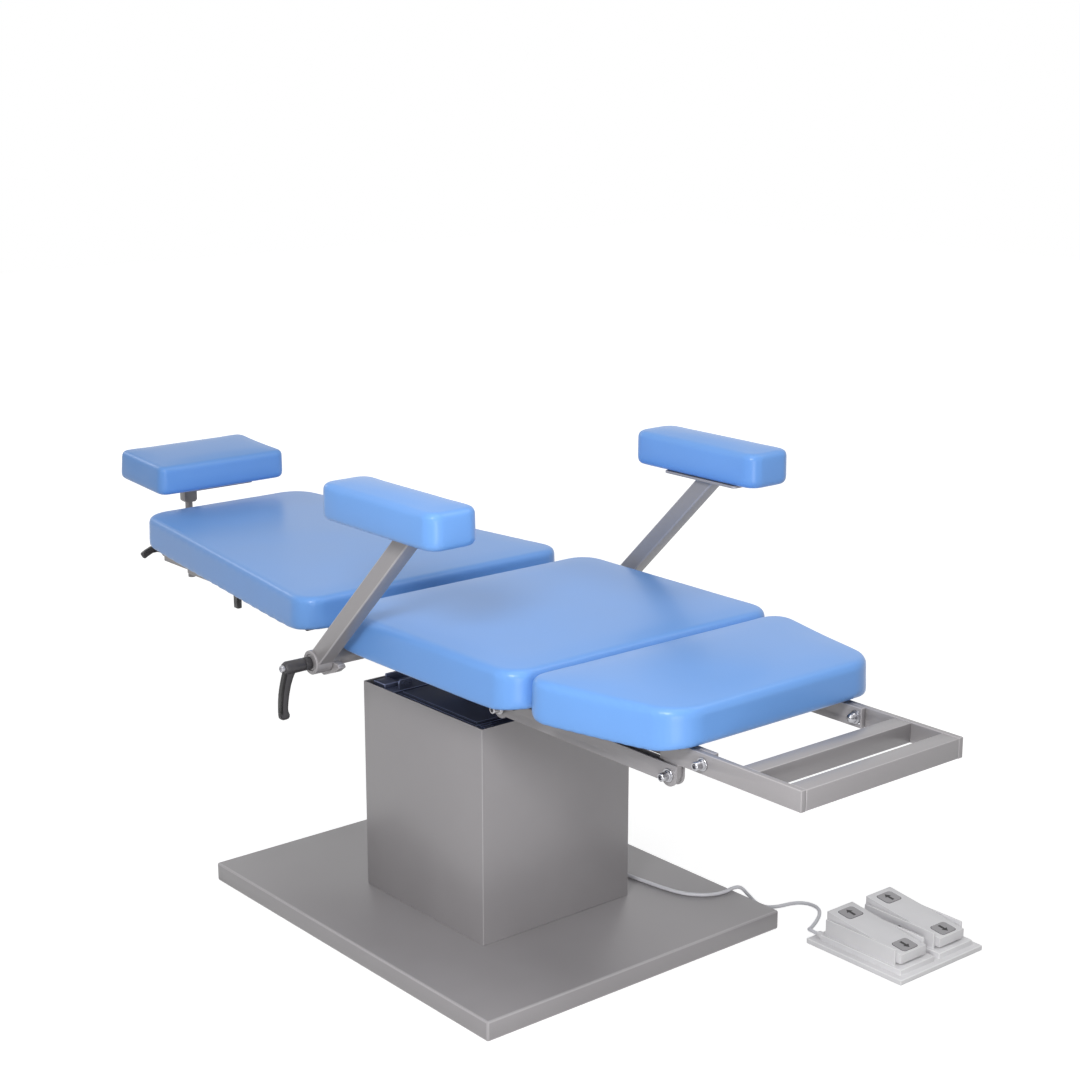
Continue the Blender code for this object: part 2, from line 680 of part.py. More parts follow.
def build_pedal(chair, looks):
    """The foot pedal: a stepped base with cheeks, an axle, and two sprung rockers."""
    tier_top = PEDAL_FLANGE + PEDAL_TIER
    axle = (PEDAL_AXLE_Y, PEDAL_AXLE_Z)
    flange = box(about(PEDAL_X, PEDAL_WIDTH), about(PEDAL_Y, PEDAL_LENGTH), (0.0, PEDAL_FLANGE))
    raised = []
    for _, middle in pedal_units():
        tier_y = (PEDAL_TIER_FOOT_Y, PEDAL_TIER_HEAD_Y)
        raised.append(box(about(middle, PEDAL_TIER_WIDTH), tier_y, (PEDAL_FLANGE - FUSE, tier_top)))
        for side in (-1.0, 1.0):
            near = middle + side * (CHEEK_SPAN - CHEEK_THICKNESS) / 2
            cheek_y = (CHEEK_FOOT_Y, CHEEK_HEAD_Y)
            raised.append(box(about(near, CHEEK_THICKNESS), cheek_y, (tier_top - FUSE, CHEEK_TOP)))
    gland_y = (PEDAL_TIER_HEAD_Y - FUSE, PEDAL_GLAND_Y)
    gland_side = 2 * GLAND_MOUTH_RADIUS
    gland_z = (PEDAL_FLANGE - FUSE, PEDAL_GLAND_Z + GLAND_MOUTH_RADIUS)
    raised.append(box(about(PEDAL_GLAND_X, gland_side), gland_y, gland_z))
    tunnel = cylinder("X", axle, PEDAL_AXLE_DIAMETER / 2 + TOUCH, about(PEDAL_X, PEDAL_WIDTH), FINE_SIDES)
    chair.add("pedal_base", cut(join(flange, *raised), tunnel), looks["plastic"])

    axle_length = PEDAL_UNIT_SPACING + CHEEK_SPAN + 2 * PEDAL_AXLE_OVERHANG
    pin = cylinder("X", axle, PEDAL_AXLE_DIAMETER / 2, about(PEDAL_X, axle_length), FINE_SIDES)
    chair.add("pedal_axle", pin, looks["steel"])

    outline = (
        (ROCKER_FOOT_Y, ROCKER_LOW),
        (ROCKER_HEAD_Y, ROCKER_LOW),
        (ROCKER_HEAD_Y, ROCKER_HEAD_TOP),
        (ROCKER_FOOT_Y, ROCKER_FOOT_TOP),
    )
    for name, middle in pedal_units():
        treadle = Body(f"pedal_{name}_pivot", (middle, *axle), chair)
        bore_x = about(middle, ROCKER_WIDTH + 2 * FUSE)
        bore = cylinder("X", axle, PEDAL_AXLE_DIAMETER / 2 + TURNING, bore_x, FINE_SIDES)
        block = prism("X", outline, about(middle, ROCKER_WIDTH))
        treadle.add(f"pedal_rocker_{name}", cut(block, bore), looks["plastic"])


def build_column_head(carriage, looks):
    """The moving half of the lifting column, and the saddle that the seat frame stands on."""
    saddle_low = SADDLE_TOP - SADDLE_THICKNESS
    flange_top = saddle_low - TOUCH
    flange_low = flange_top - HEAD_FLANGE_THICKNESS
    inner_width = COLUMN_WIDTH - 2 * COLUMN_WALL - 2 * COLUMN_PLAY
    tube = column_square(inner_width, (INNER_LOW, flange_low + FUSE))
    flange = column_square(HEAD_FLANGE_WIDTH, (flange_low, flange_top))
    bore = column_square(inner_width - 2 * INNER_WALL, (INNER_LOW - FUSE, flange_low))
    carriage.add("column_inner", cut(join(flange, tube), bore), looks["dark"])

    rod = cylinder("Z", (0.0, COLUMN_Y), LIFT_ROD_DIAMETER / 2, (LIFT_ROD_LOW, flange_low - TOUCH))
    carriage.add("lift_rod", rod, looks["steel"])

    plate = box(about(0.0, SADDLE_WIDTH), (SADDLE_FOOT_Y, SADDLE_HEAD_Y), (saddle_low, SADDLE_TOP))
    ribs = []
    for _, side in SIDES:
        rib_y = (SADDLE_RIB_FOOT_Y, SADDLE_RIB_HEAD_Y)
        rib_z = (SADDLE_TOP - FUSE, FRAME_LOW - TOUCH)
        ribs.append(box(about(side * SADDLE_RIB_X, SADDLE_RIB_THICKNESS), rib_y, rib_z))
    carriage.add("lift_saddle", join(plate, *ribs), looks["dark"])


def link_lug(side):
    """The block, lug and pin on a seat rail that carry the link."""
    block_y = about(LINK_SEAT_PIVOT[0], LINK_LUG_BLOCK_LENGTH)
    block_z = (FRAME_LOW + LINK_LUG_BLOCK_LIFT, FRAME_TOP)
    block = box(span(side, SEAT_RAIL_OUT - FUSE, FOOTREST_BAR_OUT), block_y, block_z)
    lug_top = (LINK_SEAT_PIVOT[0], HINGE[1])
    lug_outline = strap(LINK_SEAT_PIVOT, lug_top, LINK_LUG_RADIUS, LINK_LUG_RADIUS)
    lug = prism("X", lug_outline, span(side, FOOTREST_BAR_X, FOOTREST_BAR_OUT))
    pin_x = span(side, LINK_X - SIDE_PLAY, LINK_OUT + SIDE_PLAY)
    pin = cylinder("X", LINK_SEAT_PIVOT, PIVOT_PIN_DIAMETER / 2, pin_x, FINE_SIDES)
    return block, lug, pin


def build_seat(carriage, looks):
    """The seat frame with its pivots, the hinge shaft, the board and the cushion."""
    half_bar = FRAME_BAR_HEIGHT / 2
    rail_outline = arc(LEG_PIVOT, half_bar, 0.5 * math.pi, 1.5 * math.pi, ARC_STEPS)
    rail_outline += [(SEAT_RAIL_HEAD_Y, FRAME_LOW), (SEAT_RAIL_HEAD_Y, FRAME_TOP)]
    for name, side in SIDES:
        rail = prism("X", rail_outline, span(side, SEAT_RAIL_X, SEAT_RAIL_OUT))
        stud_x = span(side, SEAT_RAIL_OUT - FUSE, LEG_BAR_OUT + SIDE_PLAY)
        stud = cylinder("X", LEG_PIVOT, PIVOT_PIN_DIAMETER / 2, stud_x, FINE_SIDES)
        parts = [rail, stud]
        if (name, side) == LINK_SIDE:
            parts += link_lug(side)
        shaft_radius = HINGE_SHAFT_DIAMETER / 2 + TOUCH
        hole = cylinder("X", HINGE, shaft_radius, span(side, SEAT_RAIL_X - FUSE, SEAT_RAIL_OUT + FUSE))
        carriage.add(f"seat_rail_{name}", cut(join(*parts), hole), looks["paint"])

    cross_length = 2 * (SEAT_RAIL_X - TOUCH)
    for name, middle in (("front", SEAT_CROSS_FRONT_Y), ("rear", SEAT_CROSS_REAR_Y)):
        cross = box(about(0.0, cross_length), about(middle, SEAT_CROSS_WIDTH), (FRAME_LOW, FRAME_TOP))
        carriage.add(f"seat_cross_{name}", cross, looks["paint"])

    shaft = HINGE_SHAFT_DIAMETER / 2
    collar = STOP_COLLAR_DIAMETER / 2
    collar_out = STOP_COLLAR_X + STOP_COLLAR_WIDTH
    half_profile = (
        (STOP_COLLAR_X, shaft),
        (STOP_COLLAR_X, collar),
        (collar_out, collar),
        (collar_out, shaft),
        (SHAFT_END_X, shaft),
        (SHAFT_END_X, SHAFT_STUB_DIAMETER / 2),
        (SHAFT_END_X + SHAFT_STUB_LENGTH, SHAFT_STUB_DIAMETER / 2),
    )
    mirrored = tuple((-along, radius) for along, radius in reversed(half_profile))
    carriage.add("hinge_shaft", turned("X", HINGE, mirrored + half_profile), looks["paint"])

    seat_y = (SEAT_FOOT_Y, SEAT_HEAD_Y)
    seat_half = (SEAT_HALF_WIDTH, SEAT_HALF_WIDTH)
    carriage.add("seat_board", board(seat_y, seat_half), looks["dark"])
    pad = cushion(seat_y, seat_half, (CUSHION_LOW, SEAT_TOP), SEAT_CORNER, SEAT_TOP_EDGE, SEAT_LOW_EDGE)
    carriage.add("seat_cushion", pad, looks["vinyl"])


def build_drive(carriage, looks):
    """The drive under the seat: a body on the saddle, and a rod whose yoke takes the back's crank pin."""
    axis = (DRIVE_X, DRIVE_Z)
    head_y = DRIVE_BODY_FOOT_Y + DRIVE_BODY_LENGTH
    barrel = cylinder("Y", axis, DRIVE_BODY_DIAMETER / 2, (DRIVE_BODY_FOOT_Y, head_y))
    foot_y = about(DRIVE_BODY_FOOT_Y + DRIVE_BODY_LENGTH / 2, DRIVE_FOOT_LENGTH)
    foot = box(about(DRIVE_X, DRIVE_FOOT_WIDTH), foot_y, (SADDLE_TOP + TOUCH, DRIVE_Z))
    bore_y = (DRIVE_ROD_FOOT_Y - DRIVE_ROD_SPARE, head_y + FUSE)
    bore = cylinder("Y", axis, DRIVE_ROD_DIAMETER / 2 + TURNING, bore_y)
    carriage.add("drive_body", cut(join(barrel, foot), bore), looks["dark"])

    slide = Body("drive_slide", (DRIVE_X, BACK_PIN[0], DRIVE_Z), carriage)
    wall = (YOKE_LENGTH - YOKE_SLOT_LENGTH) / 2
    rod_end = BACK_PIN[0] - YOKE_LENGTH / 2 + wall / 2
    rod = cylinder("Y", axis, DRIVE_ROD_DIAMETER / 2, (DRIVE_ROD_FOOT_Y, rod_end))
    block_y = about(BACK_PIN[0], YOKE_LENGTH)
    block = box(about(DRIVE_X, YOKE_THICKNESS), block_y, about(DRIVE_Z, YOKE_HEIGHT))
    slot_y = about(BACK_PIN[0], YOKE_SLOT_LENGTH)
    slot = box(about(DRIVE_X, YOKE_THICKNESS + FUSE), slot_y, about(DRIVE_Z, YOKE_SLOT_HEIGHT))
    slide.add("drive_rod", cut(join(rod, block), slot), looks["steel"])


def build_back(backrest, looks):
    """The back frame, which turns on the hinge shaft, with its crank, board, cushion and bar guide."""
    tube_radius = BACK_TUBE_DIAMETER / 2
    tube_x = about(0.0, BACK_TUBE_LENGTH)
    tube = cylinder("X", HINGE, tube_radius, tube_x)
    bore_x = about(0.0, BACK_TUBE_LENGTH + FUSE)
    bore = cylinder("X", HINGE, HINGE_SHAFT_DIAMETER / 2 + TURNING, bore_x)
    backrest.add("back_hinge_tube", cut(tube, bore), looks["paint"])

    crank_x = about(CRANK_X, CRANK_THICKNESS)
    crank = prism("X", strap(HINGE, BACK_PIN, tube_radius - FUSE, CRANK_EYE_RADIUS), crank_x)
    saddle = cylinder("X", HINGE, tube_radius + TOUCH, about(CRANK_X, CRANK_THICKNESS + FUSE))
    pin_start = DRIVE_X - YOKE_THICKNESS / 2 - CRANK_PIN_OVERHANG
    pin = cylinder("X", BACK_PIN, PIVOT_PIN_DIAMETER / 2, (pin_start, CRANK_PIN_END_X), FINE_SIDES)
    backrest.add("back_crank", join(cut(crank, saddle), pin), looks["steel"])

    rail_top = HINGE[1] - tube_radius - TOUCH
    rail_y = (BACK_RAIL_FOOT_Y, BACK_RAIL_HEAD_Y)
    for name, side in SIDES:
        rail_x = span(side, BACK_RAIL_X, BACK_RAIL_X + BACK_RAIL_THICKNESS)
        rail = box(rail_x, rail_y, (rail_top - FRAME_BAR_HEIGHT, rail_top))
        backrest.add(f"back_rail_{name}", rail, looks["paint"])
    for name, middle in (("lower", BACK_CROSS_LOWER_Y), ("upper", BACK_CROSS_UPPER_Y)):
        cross_z = (rail_top + TOUCH, FRAME_TOP)
        cross = box(about(0.0, BACK_CROSS_LENGTH), about(middle, BACK_CROSS_WIDTH), cross_z)
        backrest.add(f"back_cross_{name}", cross, looks["paint"])

    back_y = (BACK_FOOT_Y, BACK_HEAD_Y)
    back_half = (BACK_FOOT_HALF_WIDTH, BACK_HEAD_HALF_WIDTH)
    backrest.add("back_board", board(back_y, back_half), looks["dark"])
    pad = cushion(back_y, back_half, (CUSHION_LOW, BACK_TOP), BACK_CORNER, BACK_TOP_EDGE, BACK_LOW_EDGE)
    backrest.add("back_cushion", pad, looks["vinyl"])

    sleeve = box(about(0.0, GUIDE_WIDTH), about(GUIDE_Y, GUIDE_LENGTH), (GUIDE_LOW, rail_top))
    hole_side = HEAD_BAR + 2 * SLIDING
    hole = box(about(0.0, hole_side), about(GUIDE_Y, GUIDE_LENGTH + FUSE), about(HEAD_BAR_Z, hole_side))
    backrest.add("headrest_guide", cut(sleeve, hole), looks["paint"])


def build_sync_rod(backrest, looks):
    """The rod between the back's crank and the leg section's crank."""
    swing = Body("sync_pivot", (0.0, *BACK_PIN), backrest)
    start = CRANK_X + CRANK_THICKNESS / 2 + SYNC_ROD_GAP
    rod_x = (start, start + SYNC_ROD_THICKNESS)
    hole_x = (start - FUSE, start + SYNC_ROD_THICKNESS + FUSE)
    half_height = SYNC_ROD_HEIGHT / 2
    rod = prism("X", strap(LEG_PIN, BACK_PIN, half_height, half_height), rod_x)
    eyes = [cylinder("X", pin, CRANK_EYE_RADIUS, rod_x) for pin in (LEG_PIN, BACK_PIN)]
    hole_radius = PIVOT_PIN_DIAMETER / 2 + SYNC_EYE_PLAY
    holes = [cylinder("X", pin, hole_radius, hole_x, FINE_SIDES) for pin in (LEG_PIN, BACK_PIN)]
    swing.add("sync_rod", cut(join(rod, *eyes), *holes), looks["steel"])


def bolt(centre, side, inside, outside):
    """A washer, a head, a shank and a nut, turned as one, through bars between two distances."""
    shank = PIVOT_PIN_DIAMETER / 2
    tip = BOLT_HEAD_RADIUS - BOLT_HEAD_CHAMFER
    nut_face = inside - TOUCH
    nut_end = nut_face - BOLT_HEAD_HEIGHT
    washer_face = outside + TOUCH
    head_face = washer_face + WASHER_THICKNESS
    head_end = head_face + BOLT_HEAD_HEIGHT
    profile = (
        (nut_end, tip),
        (nut_end + BOLT_HEAD_CHAMFER, BOLT_HEAD_RADIUS),
        (nut_face, BOLT_HEAD_RADIUS),
        (nut_face, shank),
        (washer_face, shank),
        (washer_face, WASHER_RADIUS),
        (head_face, WASHER_RADIUS),
        (head_face, BOLT_HEAD_RADIUS),
        (head_end - BOLT_HEAD_CHAMFER, BOLT_HEAD_RADIUS),
        (head_end, tip),
    )
    return turned("X", centre, [(side * along, radius) for along, radius in profile], FINE_SIDES)


def build_leg_section(leg, looks):
    """The leg section: two bars, a cross bar with its crank, the board, the cushion and the bolts."""
    half_bar = FRAME_BAR_HEIGHT / 2
    bar_end = FOOTREST_PIVOT[0] - LEG_BAR_OVERHANG
    bar_outline = arc(LEG_PIVOT, half_bar, -0.5 * math.pi, 0.5 * math.pi, ARC_STEPS)
    bar_outline += [(bar_end, FRAME_TOP), (bar_end, FRAME_LOW)]
    for name, side in SIDES:
        bar = prism("X", bar_outline, span(side, LEG_BAR_X, LEG_BAR_OUT))
        hole_x = span(side, LEG_BAR_X - FUSE, LEG_BAR_OUT + FUSE)
        holes = [pin_hole(pivot, hole_x) for pivot in (LEG_PIVOT, FOOTREST_PIVOT)]
        leg.add(f"leg_bar_{name}", cut(bar, *holes), looks["paint"])
        pivot_bolt = bolt(FOOTREST_PIVOT, side, LEG_BAR_X, FOOTREST_BAR_OUT)
        leg.add(f"footrest_bolt_{name}", pivot_bolt, looks["chrome"])

    cross_length = 2 * (LEG_BAR_X - TOUCH)
    cross = box(about(0.0, cross_length), about(LEG_CROSS_Y, LEG_CROSS_WIDTH), (FRAME_LOW, FRAME_TOP))
    root = (LEG_CROSS_Y, FRAME_LOW + CRANK_EYE_RADIUS)
    crank_outline = strap(root, LEG_PIN, CRANK_EYE_RADIUS, CRANK_EYE_RADIUS)
    crank = prism("X", crank_outline, about(CRANK_X, CRANK_THICKNESS))
    pin = cylinder("X", LEG_PIN, PIVOT_PIN_DIAMETER / 2, (CRANK_X, CRANK_PIN_END_X), FINE_SIDES)
    leg.add("leg_cross", join(cross, crank, pin), looks["paint"])

    leg_y = (LEG_FOOT_Y, LEG_HEAD_Y)
    leg_half = (LEG_FOOT_HALF_WIDTH, LEG_HEAD_HALF_WIDTH)
    leg.add("leg_board", board(leg_y, leg_half), looks["dark"])
    pad = cushion(leg_y, leg_half, (CUSHION_LOW, LEG_TOP), LEG_CORNER, LEG_TOP_EDGE, LEG_LOW_EDGE)
    leg.add("leg_cushion", pad, looks["vinyl"])


def build_footrest(footrest, looks):
    """The footrest: two side bars, one with the link's lug and bolt, and two cross tubes."""
    bar_y = (FOOTREST_FOOT_Y, FOOTREST_HEAD_Y)
    lug_top = (LINK_FOOT_PIVOT[0], HINGE[1])
    lug_outline = strap(LINK_FOOT_PIVOT, lug_top, LINK_LUG_RADIUS, LINK_LUG_RADIUS)
    for name, side in SIDES:
        bar_x = span(side, FOOTREST_BAR_X, FOOTREST_BAR_OUT)
        parts = [box(bar_x, bar_y, (FRAME_LOW, FRAME_TOP))]
        pivots = [FOOTREST_PIVOT]
        if (name, side) == LINK_SIDE:
            parts.append(prism("X", lug_outline, bar_x))
            pivots.append(LINK_FOOT_PIVOT)
            pivot_bolt = bolt(LINK_FOOT_PIVOT, side, LINK_X, LINK_OUT)
            footrest.add(f"link_bolt_{name}", pivot_bolt, looks["chrome"])
        hole_x = span(side, FOOTREST_BAR_X - FUSE, FOOTREST_BAR_OUT + FUSE)
        holes = [pin_hole(pivot, hole_x) for pivot in pivots]
        footrest.add(f"footrest_bar_{name}", cut(join(*parts), *holes), looks["paint"])

    length = 2 * (FOOTREST_BAR_X - TOUCH)
    tube_hollow = FOOTREST_TUBE - 2 * FOOTREST_TUBE_WALL
    outer_y = FOOTREST_FOOT_Y + FOOTREST_TUBE / 2
    for name, middle in (("inner", FOOTREST_INNER_TUBE_Y), ("outer", outer_y)):
        tube = box(about(0.0, length), about(middle, FOOTREST_TUBE), about(HINGE[1], FOOTREST_TUBE))
        hollow_x = about(0.0, length + FUSE)
        hollow = box(hollow_x, about(middle, tube_hollow), about(HINGE[1], tube_hollow))
        footrest.add(f"footrest_tube_{name}", cut(tube, hollow), looks["paint"])


def build_link(carriage, name, side, looks):
    """The channel that holds the footrest level, open upwards and round both its lugs."""
    swing = Body(f"link_pivot_{name}", (0.0, *LINK_SEAT_PIVOT), carriage)
    foot_y, seat_y = LINK_FOOT_PIVOT[0], LINK_SEAT_PIVOT[0]
    top = LINK_SEAT_PIVOT[1] + LINK_EYE_RADIUS
    low = top - LINK_DEPTH
    link_x = span(side, LINK_X, LINK_OUT)
    channel = box(link_x, (foot_y, seat_y), (low, top))
    eyes = [cylinder("X", pivot, LINK_EYE_RADIUS, link_x) for pivot in (LINK_FOOT_PIVOT, LINK_SEAT_PIVOT)]
    inside_x = span(side, LINK_X + LINK_SHEET, LINK_OUT - LINK_SHEET)
    past_eye = 2 * LINK_EYE_RADIUS
    foot_web = foot_y + LINK_WEB_SETBACK_FOOT
    seat_web = seat_y - LINK_WEB_SETBACK_SEAT
    trough = box(inside_x, (foot_web - FUSE, seat_web + FUSE), (low + LINK_SHEET, top + FUSE))
    end_z = (top - past_eye - FUSE, top + FUSE)
    foot_gap = box(inside_x, (foot_y - past_eye, foot_web), end_z)
    seat_gap = box(inside_x, (seat_web, seat_y + past_eye), end_z)
    hole_x = span(side, LINK_X - FUSE, LINK_OUT + FUSE)
    holes = [pin_hole(pivot, hole_x) for pivot in (LINK_FOOT_PIVOT, LINK_SEAT_PIVOT)]
    square_end = box(link_x, (foot_y - LINK_EYE_RADIUS, foot_y), (LINK_FOOT_PIVOT[1], top))
    link = cut(join(channel, square_end, *eyes), trough, foot_gap, seat_gap, *holes)
    swing.add(f"link_{name}", link, looks["paint"])


def lever_handle():
    """The outline of an arm lever's swept handle, as (x, drop below the shaft) pairs."""
    outer = ARM_LEVER_END_X + ARM_LEVER_LEAN
    neck = outer - ARM_LEVER_NECK
    hook_top = ARM_LEVER_REACH - ARM_LEVER_HOOK_HEIGHT
    hook_middle = ARM_LEVER_REACH - ARM_LEVER_HOOK_HEIGHT / 2
    return (
        (ARM_LEVER_END_X - ARM_LEVER_ROOT, 0.0),
        (ARM_LEVER_END_X, 0.0),
        (ARM_LEVER_END_X + ARM_LEVER_LEAN / 2, ARM_LEVER_REACH / 4),
        (outer, ARM_LEVER_REACH / 2),
        (outer, hook_middle),
        (outer - ARM_LEVER_NECK / 3, ARM_LEVER_REACH),
        (neck, ARM_LEVER_REACH),
        (outer - ARM_LEVER_HOOK, hook_middle),
        (neck, hook_top),
        (neck - ARM_LEVER_LEAN / 4, ARM_LEVER_REACH / 2),
        (ARM_LEVER_END_X - ARM_LEVER_NECK, ARM_LEVER_REACH / 5),
        (ARM_LEVER_END_X - ARM_LEVER_ROOT, ARM_LEVER_COLLAR_RADIUS),
    )


def build_arm(carriage, name, side, looks):
    """An arm rest on the hinge shaft: hub, leaning square tube, plate and pad, and its clamp lever."""
    swing = Body(f"arm_pivot_{name}", (0.0, *HINGE), carriage)
    plate_top = ARM_PAD_LOW - TOUCH
    plate_low = plate_top - ARM_PLATE_THICKNESS
    hub = cylinder("X", HINGE, ARM_HUB_DIAMETER / 2, span(side, ARM_HUB_X, ARM_HUB_OUT))
    start = Vector(HINGE)
    lean = (Vector(((ARM_PLATE_FOOT_Y + ARM_PLATE_HEAD_Y) / 2, plate_low)) - start).normalized()
    across = Vector((lean.y, -lean.x)) * ARM_TUBE / 2
    tube_outline = []
    for corner, places in ((start - across, (0, 1)), (start + across, (1, 0))):
        end = corner + lean * (plate_low + FUSE - corner.y) / lean.y
        tube_outline += [tuple((corner, end)[place]) for place in places]
    tube = prism("X", tube_outline, about(side * ARM_TUBE_X, ARM_TUBE))
    plate_y = (ARM_PLATE_FOOT_Y, ARM_PLATE_HEAD_Y)
    plate = box(about(side * ARM_PLATE_X, ARM_PLATE_WIDTH), plate_y, (plate_low, plate_top))
    bore_x = span(side, ARM_HUB_X - FUSE, ARM_HUB_OUT + FUSE)
    bore = cylinder("X", HINGE, HINGE_SHAFT_DIAMETER / 2 + TURNING, bore_x)
    swing.add(f"arm_{name}", cut(join(hub, tube, plate), bore), looks["paint"])

    pad_y = (ARM_PAD_FOOT_Y, ARM_PAD_HEAD_Y)
    pad_half = (ARM_PAD_HALF_WIDTH, ARM_PAD_HALF_WIDTH)
    pad_z = (ARM_PAD_LOW, ARM_PAD_TOP)
    pad = cushion(pad_y, pad_half, pad_z, ARM_PAD_CORNER, ARM_PAD_EDGE, ARM_PAD_EDGE, side * ARM_PAD_X)
    swing.add(f"arm_pad_{name}", pad, looks["vinyl"])

    clamp = Body(f"arm_lever_pivot_{name}", (0.0, *HINGE), carriage)
    collar_x = span(side, ARM_LEVER_X, ARM_LEVER_END_X)
    collar = cylinder("X", HINGE, ARM_LEVER_COLLAR_RADIUS, collar_x, FINE_SIDES)
    handle_y = about(HINGE[0], ARM_LEVER_THICKNESS)
    outline = [(side * x, HINGE[1] - drop) for x, drop in lever_handle()]
    handle = prism("Y", outline, handle_y)
    stub_end = SHAFT_END_X + SHAFT_STUB_LENGTH
    socket_radius = SHAFT_STUB_DIAMETER / 2 + TURNING
    socket_x = span(side, ARM_LEVER_X - FUSE, stub_end + TOUCH)
    socket = cylinder("X", HINGE, socket_radius, socket_x, FINE_SIDES)
    clamp.add(f"arm_lever_{name}", cut(join(collar, handle), socket), looks["lever"])


def build_headrest(backrest, looks):
    """The headrest on its tilting bracket, post and sliding bar, with the two clamp levers."""
    bar_slide = Body("head_bar_slide", (0.0, GUIDE_Y, HEAD_BAR_Z), backrest)
    bar_y = (HEAD_BAR_FOOT_Y, HEAD_BAR_HEAD_Y)
    bar = box(about(0.0, HEAD_BAR), bar_y, about(HEAD_BAR_Z, HEAD_BAR))
    post_hole = cylinder("Z", (0.0, POST_Y), POST_DIAMETER / 2 + SLIDING, about(HEAD_BAR_Z, 2 * HEAD_BAR))
    bar_slide.add("head_bar", cut(bar, post_hole), looks["paint"])

    guide_side = GUIDE_WIDTH / 2 + TOUCH
    boss_end = guide_side + HEAD_LEVER_STANDOFF + HEAD_LEVER_THICKNESS
    clamp_axis = (GUIDE_Y, HEAD_BAR_Z)
    bar_clamp = Body("head_bar_lever_pivot", (-guide_side, *clamp_axis), backrest)
    boss = cylinder("X", clamp_axis, HEAD_LEVER_BOSS_RADIUS, (-boss_end, -guide_side), FINE_SIDES)
    tip = (GUIDE_Y, HEAD_BAR_Z - BAR_LEVER_REACH)
    grip_outline = strap(clamp_axis, tip, HEAD_LEVER_BOSS_RADIUS, HEAD_LEVER_TIP_RADIUS)
    grip = prism("X", grip_outline, (-boss_end, HEAD_LEVER_THICKNESS - boss_end))
    bar_clamp.add("head_bar_lever", join(boss, grip), looks["lever"])

    bar_end = HEAD_BAR_HEAD_Y + TOUCH
    boss_end = bar_end + HEAD_LEVER_STANDOFF + HEAD_LEVER_THICKNESS
    clamp_axis = (0.0, HEAD_BAR_Z)
    post_clamp = Body("head_post_lever_pivot", (0.0, bar_end, HEAD_BAR_Z), bar_slide)
    boss = cylinder("Y", clamp_axis, HEAD_LEVER_BOSS_RADIUS, (bar_end, boss_end), FINE_SIDES)
    grip_outline = strap(clamp_axis, POST_LEVER_TIP, HEAD_LEVER_BOSS_RADIUS, HEAD_LEVER_TIP_RADIUS)
    grip = prism("Y", grip_outline, (boss_end - HEAD_LEVER_THICKNESS, boss_end))
    post_clamp.add("head_post_lever", join(boss, grip), looks["lever"])

    post_slide = Body("head_post_slide", (0.0, POST_Y, HEAD_BAR_Z), bar_slide)
    rod = cylinder("Z", (0.0, POST_Y), POST_DIAMETER / 2, (POST_LOW, POST_BLOCK_LOW + FUSE))
    half = POST_BLOCK_WIDTH / 2
    block_top = TILT_Z + BRACKET_EAR_RADIUS
    block_outline = (
        (-half + POST_BLOCK_CHAMFER, POST_BLOCK_LOW),
        (half - POST_BLOCK_CHAMFER, POST_BLOCK_LOW),
        (half, POST_BLOCK_LOW + POST_BLOCK_CHAMFER),
        (half, block_top),
        (-half, block_top),
        (-half, POST_BLOCK_LOW + POST_BLOCK_CHAMFER),
    )
    block = prism("Y", block_outline, about(POST_Y, POST_BLOCK_LENGTH))
    tilt_axis = (POST_Y, TILT_Z)
    pin = cylinder("X", tilt_axis, TILT_PIN_DIAMETER / 2, about(0.0, TILT_PIN_LENGTH), FINE_SIDES)
    post_slide.add("head_post", join(rod, block, pin), looks["paint"])

    tilt = Body("head_tilt", (0.0, *tilt_axis), post_slide, TILT_ANGLE)
    plate_low = TILT_Z + BRACKET_RISE
    plate_top = plate_low + BRACKET_SHEET
    head_y = POST_Y + HEAD_CENTRE_Y
    plate = box(about(0.0, BRACKET_PLATE_WIDTH), about(head_y, BRACKET_PLATE_LENGTH), (plate_low, plate_top))
    ears = []
    holes = []
    for _, side in SIDES:
        ear_x = span(side, half + SIDE_PLAY, half + SIDE_PLAY + BRACKET_SHEET)
        ears.append(cylinder("X", tilt_axis, BRACKET_EAR_RADIUS, ear_x))
        ears.append(box(ear_x, about(POST_Y, 2 * BRACKET_EAR_RADIUS), (TILT_Z, plate_low + FUSE)))
        hole_x = span(side, half, half + 2 * SIDE_PLAY + BRACKET_SHEET)
        holes.append(cylinder("X", tilt_axis, TILT_PIN_DIAMETER / 2 + TURNING, hole_x, FINE_SIDES))
    tilt.add("head_bracket", cut(join(plate, *ears), *holes), looks["paint"])
    pad_low = plate_top + TOUCH
    pad_half = (HEAD_HALF_WIDTH, HEAD_HALF_WIDTH)
    pad_z = (pad_low, pad_low + HEAD_THICKNESS)
    pad = cushion(about(head_y, HEAD_LENGTH), pad_half, pad_z, HEAD_CORNER, HEAD_EDGE, HEAD_EDGE)
    tilt.add("head_cushion", pad, looks["vinyl"])


def make_looks():
    """The chair's finishes."""
    return {
        "vinyl": make_material("blue_vinyl", (0.21, 0.36, 0.66), 0.45),
        "paint": make_material("grey_paint", (0.26, 0.25, 0.26), 0.45, 0.3),
        "dark": make_material("dark_steel", (0.03, 0.032, 0.05), 0.5, 0.4),
        "steel": make_material("plain_steel", (0.45, 0.45, 0.46), 0.35, 0.9),
        "chrome": make_material("bright_bolt", (0.75, 0.75, 0.76), 0.2, 1.0),
        "lever": make_material("dark_lever", (0.06, 0.055, 0.06), 0.4),
        "plastic": make_material("pale_plastic", (0.68, 0.67, 0.69), 0.5),
        "cord": make_material("cord_jacket", (0.55, 0.55, 0.58), 0.5),
    }


